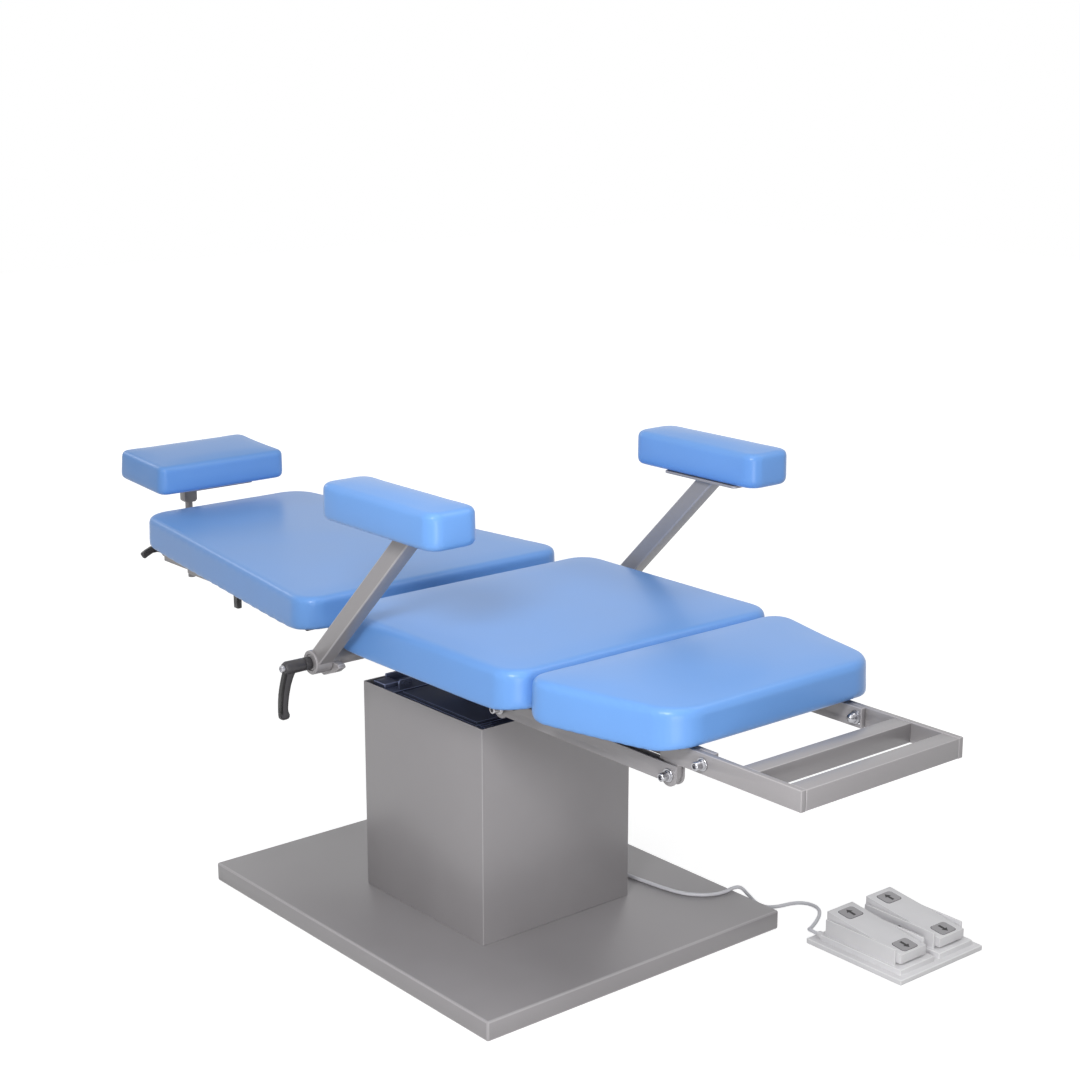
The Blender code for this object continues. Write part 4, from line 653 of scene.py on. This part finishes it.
class CHAIR_OT_cushions(bpy.types.Operator):
    """Models each cushion and pad, and lets air fill its vinyl"""

    bl_idname = "chair.cushions"
    bl_label = "Cushions"

    def execute(self, context):
        for node, shape in CUSHIONS.items():
            self.cushion(context, node, shape)
        context.scene.frame_set(1)
        return {"FINISHED"}

    def cushion(self, context, node, shape):
        """One cushion, from its outline to its finished skin."""
        voxel = sizes().cushion_voxel * (SMALL_VOXEL_SHARE if node in SMALL_CUSHIONS else 1.0)
        item = piece(f"{node}_skin", self.form(shape), body_of(node), "blue_vinyl", (node,), crease=180.0)
        guide = placed("cushion_guide", item.data.copy())
        fill = item.modifiers.new("even_mesh", "REMESH")
        fill.mode = "VOXEL"
        fill.voxel_size = voxel
        item.modifiers.new("true_form", "SHRINKWRAP").target = guide
        self.bake(context, item)
        bpy.data.meshes.remove(guide.data)
        self.shape_skin(item.data, shape, 0.0 if node in SMALL_CUSHIONS else sizes().cushion_lip)
        if node == "leg_cushion":
            self.lift_foot_edge(item.data, shape.foot, shape.low)
        self.swell(context, item, shape.low)
        rim = self.group_below(item, "low_rim", shape.low + LOW_RIM)
        for name, rounds, group in (("even_rim", 8, rim.name), ("soften", 1, "")):
            soften = item.modifiers.new(name, "SMOOTH")
            soften.factor = 0.5
            soften.iterations = rounds
            soften.vertex_group = group
        self.bake(context, item)
        item.vertex_groups.clear()
        if node == "head_cushion":
            turn = Matrix.Translation(HEAD_PIVOT) @ Matrix.Rotation(HEAD_TILT, 4, "X") @ Matrix.Translation(-HEAD_PIVOT)
            item.data.transform(turn)
        item.data.shade_smooth()
        finer = item.modifiers.new("finer", "SUBSURF")
        finer.levels = finer.render_levels = 1

    def group_below(self, item, name, height):
        """A group of the points below a height."""
        group = item.vertex_groups.new(name=name)
        group.add([point.index for point in item.data.vertices if point.co.z < height], 1.0, "REPLACE")
        return group

    def form(self, shape):
        """The cushion's plain form, a little small: a tapered block with round corners and edges."""
        foot, head, foot_half, head_half, low, top, corner, top_edge, low_edge, middle = shape
        inset = sizes().cushion_inset
        solid = bmesh.new()
        bmesh.ops.create_cube(solid, size=2.0)
        for corner_point in solid.verts:
            x, y, z = corner_point.co
            half, end = (foot_half, foot + inset) if y < 0 else (head_half, head - inset)
            corner_point.co = (middle + x * (half - inset), end, low if z < 0 else top - inset)
        round_edges(solid, corner, 10, edges=upright_edges(solid))
        for height, width in ((top - inset, top_edge), (low, low_edge)):
            rim = [edge for edge in solid.edges if all(abs(end.co.z - height) < NODE_WELD for end in edge.verts)]
            round_edges(solid, width, 6, edges=rim)
        return solid

    def lift_foot_edge(self, mesh, foot, low):
        """Rounds the lower foot edge of the leg cushion, where the footrest swings up."""
        for point in mesh.vertices:
            reach = 1 - (point.co.y - foot) / FOOT_ROUND
            height = 1 - (point.co.z - low) / FOOT_ROUND
            past = math.hypot(max(0.0, reach), max(0.0, height))
            if reach > 0 and height > 0 and past > 1:
                point.co.y = foot + FOOT_ROUND * (1 - reach / past)
                point.co.z = low + FOOT_ROUND * (1 - height / past)

    def bake(self, context, item):
        """Applies the cushion's modifiers to its mesh."""
        shown = item.evaluated_get(context.evaluated_depsgraph_get())
        made = bpy.data.meshes.new_from_object(shown)
        old = item.data
        item.modifiers.clear()
        name = old.name
        item.data = made
        bpy.data.meshes.remove(old)
        made.name = name

    def shape_skin(self, mesh, shape, lip):
        """Crowns the top, draws the sides in between the corners and hangs a lip under the side edges."""
        crown = sizes().cushion_crown
        for point in mesh.vertices:
            x, y, z = point.co
            along = (2 * y - shape.foot - shape.head) / (shape.head - shape.foot)
            half = shape.foot_half + (shape.head_half - shape.foot_half) * (along + 1) / 2
            across = (x - shape.middle) / half
            level = (z - shape.low) / (shape.top - shape.low)
            bow, cross_bow = max(0.0, 1 - along * along), max(0.0, 1 - across * across)
            lift = crown * bow * cross_bow * max(0.0, level)
            drawn = 1 - 0.6 * (4 * max(0.0, level * (1 - level)))
            x -= math.copysign(WAIST * bow * abs(across) ** 6, across) * drawn
            y -= math.copysign(WAIST * cross_bow * abs(along) ** 8, along) * drawn
            inside = (1 - abs(across)) * half
            hang = lip * max(0.0, 1 - inside / LIP_WIDTH) * (1 - along ** 6) * max(0.0, 1 - 1.5 * level)
            point.co = (x, y, z + lift - max(0.0, hang))

    def swell(self, context, item, low):
        """Fills the skin with air, and keeps every point near its place."""
        mesh = item.data
        before = [point.co.copy() for point in mesh.vertices]
        seat = self.group_below(item, "seated", low + SEATED_RIM)
        cloth = item.modifiers.new("swell", "CLOTH")
        cloth.settings.quality = 4
        cloth.settings.use_pressure = True
        cloth.settings.uniform_pressure_force = SWELL_PRESSURE
        cloth.settings.effector_weights.gravity = 0.0
        cloth.settings.vertex_group_mass = seat.name
        for step in range(1, SWELL_STEPS + 1):
            context.scene.frame_set(step)
        shown = item.evaluated_get(context.evaluated_depsgraph_get())
        after = [point.co.copy() for point in shown.data.vertices]
        item.modifiers.remove(cloth)
        item.vertex_groups.remove(seat)
        limit = sizes().cushion_swell
        moves = numpy.array(after) - numpy.array(before)
        reach = numpy.linalg.norm(moves, axis=1, keepdims=True)
        moves = self.even_out(mesh, moves * numpy.minimum(1.0, limit / numpy.maximum(reach, 1e-9)))
        for point, start, move in zip(mesh.vertices, before, moves):
            point.co = start + Vector(move)

    def even_out(self, mesh, moves, rounds=60):
        """Averages the moves over neighbouring points, so that the skin swells without lumps."""
        ends = numpy.empty(2 * len(mesh.edges), dtype=numpy.int32)
        mesh.edges.foreach_get("vertices", ends)
        near, far = ends.copy(), ends.reshape(-1, 2)[:, ::-1].ravel()
        count = numpy.bincount(near, minlength=len(moves))
        for _ in range(rounds):
            total = [numpy.bincount(near, weights=moves[far, axis], minlength=len(moves)) for axis in range(3)]
            moves = (moves + numpy.array(total).T / count[:, None]) / 2
        return moves


def lever_station(side, inner, outer, drop, half_depth):
    """A ring of an arm lever's handle, which lies across the drop."""
    place = Vector((side * (inner + outer) / 2, HINGE.y, HINGE.z - drop))
    return Matrix.Translation(place) @ Matrix.Diagonal(((outer - inner) / 2, half_depth, 1.0, 1.0))


ARM_HUB = (0.2831, 0.3131)
SHAFT_RADIUS = 0.0125
LEVER_END = 0.361
RING_LIMITS = (0.3138, 0.3248)
RING_RADII = (0.0096, 0.0104)
RING_TEETH = 30
LEVER_HUB = ((0.3250, 0.0), (0.3250, 0.0090), (0.3262, 0.0102), (0.3560, 0.0105), (0.3606, 0.0082),
             (LEVER_END, 0.0064), (LEVER_END, 0.0))
LEVER_SCREW = ((0.3590, 0.0), (0.3590, 0.0056), (0.3640, 0.0058), (0.3660, 0.0050), (0.3666, 0.0030),
               (0.3650, 0.0026), (0.3650, 0.0))
# inner x, outer x, drop below the shaft, half depth
LEVER_STATIONS = (
    (0.3390, 0.3595, 0.0000, 0.0066), (0.3430, 0.3615, 0.0090, 0.0067), (0.3472, 0.3640, 0.0170, 0.0067),
    (0.3512, 0.3668, 0.0280, 0.0066), (0.3541, 0.3692, 0.0400, 0.0065), (0.3562, 0.3704, 0.0520, 0.0064),
    (0.3572, 0.3708, 0.0620, 0.0063), (0.3570, 0.3709, 0.0675, 0.0063), (0.3546, 0.3708, 0.0735, 0.0062),
    (0.3546, 0.3704, 0.0772, 0.0060), (0.3570, 0.3690, 0.0808, 0.0056),
)


class CHAIR_OT_arm_levers(bpy.types.Operator):
    """Models the two clamp levers that hold the arm rests on their shaft"""

    bl_idname = "chair.arm_levers"
    bl_label = "Arm levers"

    def execute(self, context):
        for name, side in SIDES:
            self.lever(name, side)
        return {"FINISHED"}

    def lever(self, name, side):
        """A notched ring, a hub, a swept handle with a hooked tip, and a bright screw."""
        body = f"arm_clamp_{name}"
        hub = lathe("X", HINGE, sided(LEVER_HUB, side))
        handle = boxy_bar([lever_station(side, *station) for station in LEVER_STATIONS], 0.0034)
        piece(f"arm_lever_{name}_grip", merge(self.notched_ring(side), hub, handle), body, "dark_lever",
              (f"arm_lever_{name}",), crease=40.0)
        piece(f"arm_lever_{name}_screw", lathe("X", HINGE, sided(LEVER_SCREW, side), 32), body, "bright_bolt")

    def notched_ring(self, side):
        """The ring that the handle's teeth drop into."""
        outline = []
        for step in range(2 * RING_TEETH):
            radius = RING_RADII[step % 2]
            turn = math.pi * step / RING_TEETH
            outline.append((HINGE.y + radius * math.cos(turn), HINGE.z + radius * math.sin(turn)))
        return slab("X", outline, [side * limit for limit in RING_LIMITS], 0.0003, 1, 60.0)


SHAFT_END = ((0.2685, SHAFT_RADIUS), (0.2685, 0.0162), (0.2693, 0.0170), (0.2817, 0.0170), (0.2825, 0.0162),
             (0.2825, SHAFT_RADIUS), (0.3112, SHAFT_RADIUS), (0.312, SHAFT_RADIUS - 0.0008), (0.312, 0.0))
ARM_PLATE = (0.7205, 0.7242)
ARM_PLATE_X = 0.299
STOP_WING = ((0.0115, 0.4657), (0.0254, 0.4558), (0.0552, 0.4446), (0.0640, 0.4465), (0.0660, 0.4540),
             (0.0520, 0.4700), (0.0300, 0.4725), (0.0150, 0.4705))


class CHAIR_OT_arms(bpy.types.Operator):
    """Models the arm rests' hubs, leaning tubes and plates, and the shaft that they turn on"""

    bl_idname = "chair.arms"
    bl_label = "Arms"

    def execute(self, context):
        for name, side in SIDES:
            self.arm(name, side)
        shaft = lathe("X", HINGE, [*sided(reversed(SHAFT_END), -1.0), *SHAFT_END])
        wings = [slab("X", STOP_WING, (side * 0.2690, side * 0.2822), 0.0012, 2) for _, side in SIDES]
        piece("hinge_shaft_dressed", merge(shaft, *wings), "carriage", "grey_paint", ("hinge_shaft",))
        return {"FINISHED"}

    def arm(self, name, side):
        """One arm rest, from its hub to the plate under the pad."""
        body = f"arm_rest_{name}"
        edge = 0.0009
        inner, outer = ARM_HUB
        bore = SHAFT_RADIUS + 0.0004
        rim = ((inner, bore), (inner, 0.0178), (inner + 0.0012, 0.0190), (outer - 0.0014, 0.0190),
               (outer, 0.0176), (outer, bore + edge), (outer - edge, bore), (inner, bore))
        hub = lathe("X", HINGE, sided(rim, side))
        foot = HINGE.yz
        plate_low, plate_top = ARM_PLATE
        lean = (Vector((-0.204, plate_low)) - foot).normalized()
        across = Vector((lean.y, -lean.x)) * 0.0135
        start = foot + lean * 0.0131
        outline = [start - across, start + across]
        for corner in (start + across, start - across):
            outline.append(corner + lean * (plate_low - corner.y) / lean.y)
        tube = slab("X", outline, (side * 0.283, side * 0.310), 0.0022, 3)
        middle = side * ARM_PLATE_X
        plate = block((middle - 0.033, -0.284, plate_low), (middle + 0.033, -0.124, plate_top))
        round_edges(plate, 0.006, 5, edges=upright_edges(plate))
        round_edges(plate, 0.0005, 1, 60.0)
        piece(f"arm_{name}_dressed", merge(hub, tube, plate), body, "grey_paint", (f"arm_{name}",))


class CHAIR_OT_saddle(bpy.types.Operator):
    """Models the saddle, tray, bracket and blocks that show in the shroud's mouth"""

    bl_idname = "chair.saddle"
    bl_label = "Saddle"

    def execute(self, context):
        edge = 0.0007
        parts = [
            block((-0.1206, -0.1232, 0.3769), (0.1206, 0.0715, 0.3798), edge),
            block((-0.1240, -0.1262, 0.3719), (0.1240, 0.0810, 0.3757), edge),
            block((-0.1160, -0.1205, 0.3750), (0.1160, 0.0690, 0.3775)),
            block((-0.1370, 0.0780, 0.3748), (0.1370, 0.1310, 0.3795), edge),
            block((-0.1110, 0.1308, 0.3748), (0.1110, 0.1340, 0.3930), edge),
            block((-0.1370, 0.0980, 0.3790), (-0.1090, 0.1300, 0.3880), 0.0012),
            block((-0.1190, -0.1325, 0.3719), (-0.0960, -0.1255, 0.3752), edge),
            block((-0.1170, -0.1385, 0.3719), (-0.0990, -0.1335, 0.3740), edge),
            self.bracket(),
        ]
        for _, side in SIDES:
            near, far = sorted((side * 0.050, side * 0.058))
            parts.append(block((near, -0.120, 0.3790), (far, 0.0, 0.4582), edge))
        for x in (-0.1080, -0.0985):
            ring = ((0.0844, 0.0022), (0.0832, 0.0024), (0.0830, 0.0032), (0.0832, 0.0040), (0.0844, 0.0042),
                    (0.0860, 0.0042), (0.0860, 0.0022), (0.0844, 0.0022))
            parts.append(lathe("Y", (x, 0.0, 0.3882), ring, 32))
        piece("lift_saddle_dressed", merge(*parts), "carriage", "dark_steel", ("lift_saddle",))
        return {"FINISHED"}

    def bracket(self):
        """An upright tab with a rounded top, which the two rings sit on."""
        tab = block((-0.1180, 0.0850, 0.3785), (-0.0910, 0.0885, 0.3945))
        corners = [edge for edge in tab.edges if all(end.co.z > 0.39 for end in edge.verts)
                   and abs(edge.verts[0].co.x - edge.verts[1].co.x) < WELD]
        return round_edges(round_edges(tab, 0.006, 6, edges=corners), 0.0005, 1, 50.0)


PEDAL_UNITS = (("inner", 0.347), ("outer", 0.439))
PAD_SLOPE = math.atan2(0.0195, 0.1535)
ROCKER_LOW_Y, ROCKER_LOW_Z = -0.617, 0.037
# y of a pad's middle, and the way that its arrow points
PAD_PLACES = ((-0.487, 1.0), (-0.599, -1.0))
ARROW = ((0.0, 0.0097), (0.0064, 0.0018), (0.0026, 0.0018), (0.0026, -0.0092), (-0.0026, -0.0092),
         (-0.0026, 0.0018), (-0.0064, 0.0018))


class CHAIR_OT_pedal(bpy.types.Operator):
    """Models the foot pedal's stepped base, its axle, and the grey pads with arrows on its rockers"""

    bl_idname = "chair.pedal"
    bl_label = "Pedal"

    def execute(self, context):
        parts = [block((0.295, -0.6375, 0.0), (0.491, -0.4415, 0.009), 0.0014, 3)]
        for _, middle in PEDAL_UNITS:
            parts.append(block((middle - 0.040, -0.626, 0.004), (middle + 0.040, -0.460, 0.018), 0.0011))
            for side in (-1.0, 1.0):
                near, far = sorted((middle + side * 0.031, middle + side * 0.035))
                parts.append(block((near, -0.609, 0.012), (far, -0.466, 0.045), 0.0008))
        boot = ((-0.462, 0.0062), (-0.4535, 0.0060), (-0.4520, 0.0052), (-0.4520, 0.0034), (-0.462, 0.0034),
                (-0.462, 0.0062))
        parts.append(lathe("Y", (0.3125, 0.0, 0.0145), boot, 32))
        piece("pedal_base_dressed", merge(*parts), "base", "pale_plastic", ("pedal_base",))
        pin = ((0.3130, 0.0), (0.3130, 0.0026), (0.3136, 0.0030), (0.4724, 0.0030), (0.4730, 0.0026), (0.4730, 0.0))
        piece("pedal_axle_pin", lathe("X", (0.0, -0.540, 0.031), pin, 32), "base", "plain_steel", ("pedal_axle",))
        for name, middle in PEDAL_UNITS:
            self.pads(name, middle)
        return {"FINISHED"}

    def pads(self, name, middle):
        """The two pads of a rocker, each in a dark rim with an arrow on it."""
        pads, marks = [], []
        for place, heading in PAD_PLACES:
            height = ROCKER_LOW_Z + (place - ROCKER_LOW_Y) * math.tan(PAD_SLOPE)
            seat = Matrix.Translation((middle, place, height)) @ Matrix.Rotation(PAD_SLOPE, 4, "X")
            pads.append(self.laid(self.plate(0.0170, 0.0135, (-0.0004, 0.0007)), seat))
            marks.append(self.laid(self.plate(0.0177, 0.0142, (-0.0004, 0.0003)), seat))
            outline = [(x, heading * y) for x, y in ARROW]
            marks.append(self.laid(slab("Z", outline, (0.0002, 0.0009), 0.0001, 1), seat))
        body = f"rocker_{name}"
        piece(f"pedal_pads_{name}", merge(*pads), body, "pale_plastic", look="pad_rubber")
        piece(f"pedal_arrows_{name}", merge(*marks), body, "dark_plastic", look="arrow_ink")

    def plate(self, half_width, half_length, heights):
        """A thin plate with round corners."""
        solid = block((-half_width, -half_length, heights[0]), (half_width, half_length, heights[1]))
        return round_edges(round_edges(solid, 0.006, 6, edges=upright_edges(solid)), 0.0002, 1, 60.0)

    def laid(self, solid, place):
        """A shape moved to its place."""
        bmesh.ops.transform(solid, matrix=place, verts=solid.verts)
        return solid


LINK_FOOT = (-0.5975, 0.441)
LINK_SEAT = (-0.234, 0.441)
FOOTREST_PIVOT = (-0.659, 0.4735)


class CHAIR_OT_fasteners(bpy.types.Operator):
    """Models the pivots' screws and nuts, and the small screws of the leg bar and arm plates"""

    bl_idname = "chair.fasteners"
    bl_label = "Fasteners"

    def execute(self, context):
        near, far = -1.0, 1.0
        nut = ((0.1382, 0.0), (0.1382, 0.0060), (0.1402, 0.0078), (0.1460, 0.0078), (0.1460, 0.0049))
        self.turned("link_screw", LINK_FOOT, near, nut + self.cap_screw(0.1622), "footrest", ("link_bolt_right",))
        nut = tuple((along - 0.0059, radius) for along, radius in nut)
        self.turned("footrest_screw_right", FOOTREST_PIVOT, near, nut + self.cap_screw(0.1589), "leg_section",
                    ("footrest_bolt_right",))
        dome = ((0.1262, 0.0), (0.1264, 0.0022), (0.1275, 0.0043), (0.1296, 0.0059), (0.1320, 0.0064),
                (0.1322, 0.0074), (0.1366, 0.0078), (0.1370, 0.0070), (0.1374, 0.0088), (0.1386, 0.0088),
                (0.1388, 0.0100), (0.1403, 0.0100), (0.1403, 0.0049))
        self.turned("footrest_screw_left", FOOTREST_PIVOT, far, dome + self.cap_screw(0.1589), "leg_section",
                    ("footrest_bolt_left",))
        seat_end = ((0.1632, 0.0), (0.1632, 0.0049))
        self.turned("link_seat_screw", LINK_SEAT, near, seat_end + self.cap_screw(0.1632), "carriage")
        self.small_screws()
        return {"FINISHED"}

    def turned(self, name, place, side, profile, body, stands_for=()):
        """A bright turned fastener across the chair."""
        solid = lathe("X", (0.0, *place), sided(profile, side), 40)
        piece(name, solid, body, "bright_bolt", stands_for, crease=35.0)

    def cap_screw(self, face):
        """The outer half of a screw: a washer on a face, a collar and a socket head."""
        steps = ((0.0, 0.0049), (0.0, 0.0092), (0.0003, 0.0095), (0.0014, 0.0095), (0.0017, 0.0092), (0.0018, 0.0074),
                 (0.0030, 0.0070), (0.0034, 0.0062), (0.0036, 0.0060), (0.0142, 0.0060), (0.0149, 0.0053),
                 (0.0149, 0.0036), (0.0095, 0.0034), (0.0095, 0.0))
        return tuple((face + along, radius) for along, radius in steps)

    def small_screws(self):
        """Pan heads on the far leg bar, and under the arm plates."""
        head = ((0.0003, 0.0), (0.0003, 0.0017), (-0.0006, 0.0016), (-0.0012, 0.0009), (-0.0013, 0.0))
        heads = [lathe("X", (0.1406, y, z), head, 20) for y, z in ((-0.6645, 0.4815), (-0.6672, 0.4650))]
        piece("leg_bar_screws", merge(*heads), "leg_section", "bright_bolt")
        head = ((0.0003, 0.0), (0.0003, 0.0050), (-0.0022, 0.0050), (-0.0030, 0.0042), (-0.0031, 0.0022),
                (-0.0016, 0.0019), (-0.0016, 0.0))
        for name, side in SIDES:
            heads = [lathe("Z", (side * ARM_PLATE_X, y, ARM_PLATE[0]), head, 28) for y in (-0.151, -0.267)]
            piece(f"arm_plate_screws_{name}", merge(*heads), f"arm_rest_{name}", "bright_bolt")


HEAD_BAR_Z = 0.3985
BAR_LEVER_PLACE = (-0.0188, 0.727, HEAD_BAR_Z)
POST_LEVER_PLACE = (0.0, 1.0343, HEAD_BAR_Z)
HEAD_LEVER_BOSS = ((0.0, 0.0), (0.0, 0.0080), (0.0012, 0.0090), (0.0157, 0.0090), (0.0167, 0.0080), (0.0167, 0.0))
# z and half width of the bar lever's handle
BAR_LEVER_DROPS = ((0.3985, 0.0082), (0.385, 0.0078), (0.370, 0.0074), (0.3585, 0.0073))
# x and z of the post lever's handle
POST_LEVER_LINE = ((0.0, 0.3995), (-0.010, 0.4065), (-0.022, 0.4105), (-0.034, 0.4100), (-0.045, 0.4055),
                   (-0.0555, 0.3995))


class CHAIR_OT_head_levers(bpy.types.Operator):
    """Models the two clamp levers of the headrest's bar and post"""

    bl_idname = "chair.head_levers"
    bl_label = "Head levers"

    def execute(self, context):
        hub = lathe("X", BAR_LEVER_PLACE, sided(HEAD_LEVER_BOSS, -1.0))
        stations = [Matrix.Translation((-0.0300, BAR_LEVER_PLACE[1], z)) @ Matrix.Diagonal((0.0052, half, 1.0, 1.0))
                    for z, half in BAR_LEVER_DROPS]
        self.grip("head_bar_lever", merge(hub, boxy_bar(stations, 0.0022)), "bar_clamp")
        hub = lathe("Y", POST_LEVER_PLACE, HEAD_LEVER_BOSS)
        line = POST_LEVER_LINE
        stations = []
        for (x, z), before, after in zip(line, (line[0], *line), (*line[1:], line[-1])):
            turn = Matrix.Rotation(math.atan2(after[0] - before[0], after[1] - before[1]), 4, "Y")
            stations.append(Matrix.Translation((x, 1.0450, z)) @ turn @ Matrix.Diagonal((0.0070, 0.0056, 1.0, 1.0)))
        self.grip("head_post_lever", merge(hub, boxy_bar(stations, 0.0040)), "post_clamp")
        return {"FINISHED"}

    def grip(self, node, solid, body):
        """A finished lever in place of its solid."""
        piece(f"{node}_grip", solid, body, "dark_lever", (node,), crease=40.0)


# Painted and steel solids that keep their form and get rounded edges: width of the rounding
ROUNDED = {
    "base_plate": 0.003, "column_shroud": 0.0017, "column_outer": 0.001, "control_box": 0.003,
    "column_inner": 0.001, "seat_rail_left": 0.0012, "seat_rail_right": 0.0012,
    "seat_cross_front": 0.0018, "seat_cross_rear": 0.0018, "drive_body": 0.001, "drive_rod": 0.0008,
    "back_hinge_tube": 0.0008, "back_crank": 0.0008, "back_rail_left": 0.0015, "back_rail_right": 0.0015,
    "back_cross_lower": 0.0018, "back_cross_upper": 0.0018, "headrest_guide": 0.0012, "sync_rod": 0.0008,
    "leg_bar_left": 0.001, "leg_bar_right": 0.001, "leg_cross": 0.0015, "footrest_bar_left": 0.0012,
    "footrest_bar_right": 0.0012, "footrest_tube_inner": 0.002, "footrest_tube_outer": 0.002,
    "link_right": 0.0006, "head_bar": 0.0022, "head_post": 0.0007, "head_bracket": 0.0008,
    "pedal_rocker_inner": 0.0016, "pedal_rocker_outer": 0.0016, "seat_board": 0.0006, "back_board": 0.0006,
    "leg_board": 0.0006,
}


class CHAIR_OT_metalwork(bpy.types.Operator):
    """Rounds the edges of the frame, base, column, links and pedal"""

    bl_idname = "chair.metalwork"
    bl_label = "Metalwork"

    def execute(self, context):
        for node, width in ROUNDED.items():
            dress(node, width)
        return {"FINISHED"}


PANEL_STEPS = (
    CHAIR_OT_stage, CHAIR_OT_finishes, CHAIR_OT_cord, CHAIR_OT_cushions, CHAIR_OT_arms, CHAIR_OT_arm_levers,
    CHAIR_OT_saddle, CHAIR_OT_pedal, CHAIR_OT_fasteners, CHAIR_OT_head_levers, CHAIR_OT_metalwork,
)


GROUPS = (("chair_colours", ChairColours), ("chair_sizes", ChairSizes), ("chair_stage", ChairStage))


class CHAIR_PT_panel(bpy.types.Panel):
    """Lists the steps that dress the chair"""

    bl_idname = "CHAIR_PT_panel"
    bl_label = "Examination chair"
    bl_space_type = "VIEW_3D"
    bl_region_type = "UI"
    bl_category = "Chair"

    def draw(self, context):
        for step in PANEL_STEPS:
            self.layout.operator(step.bl_idname)
        for name, group in GROUPS:
            for setting in group.__annotations__:
                self.layout.prop(getattr(context.scene, name), setting)


def register():
    """Adds the settings, steps and panel to Blender."""
    for name, group in GROUPS:
        bpy.utils.register_class(group)
        setattr(bpy.types.Scene, name, bpy.props.PointerProperty(type=group))
    for step in (*PANEL_STEPS, CHAIR_PT_panel):
        bpy.utils.register_class(step)


def unregister():
    """Takes the panel, steps and settings out again."""
    for step in reversed((*PANEL_STEPS, CHAIR_PT_panel)):
        bpy.utils.unregister_class(step)
    for name, group in GROUPS:
        delattr(bpy.types.Scene, name)
        bpy.utils.unregister_class(group)


def main():
    """Dresses the chair step by step."""
    register()
    for step in PANEL_STEPS:
        family, name = step.bl_idname.split(".")
        getattr(getattr(bpy.ops, family), name)()


if __name__ == "__main__":
    main()
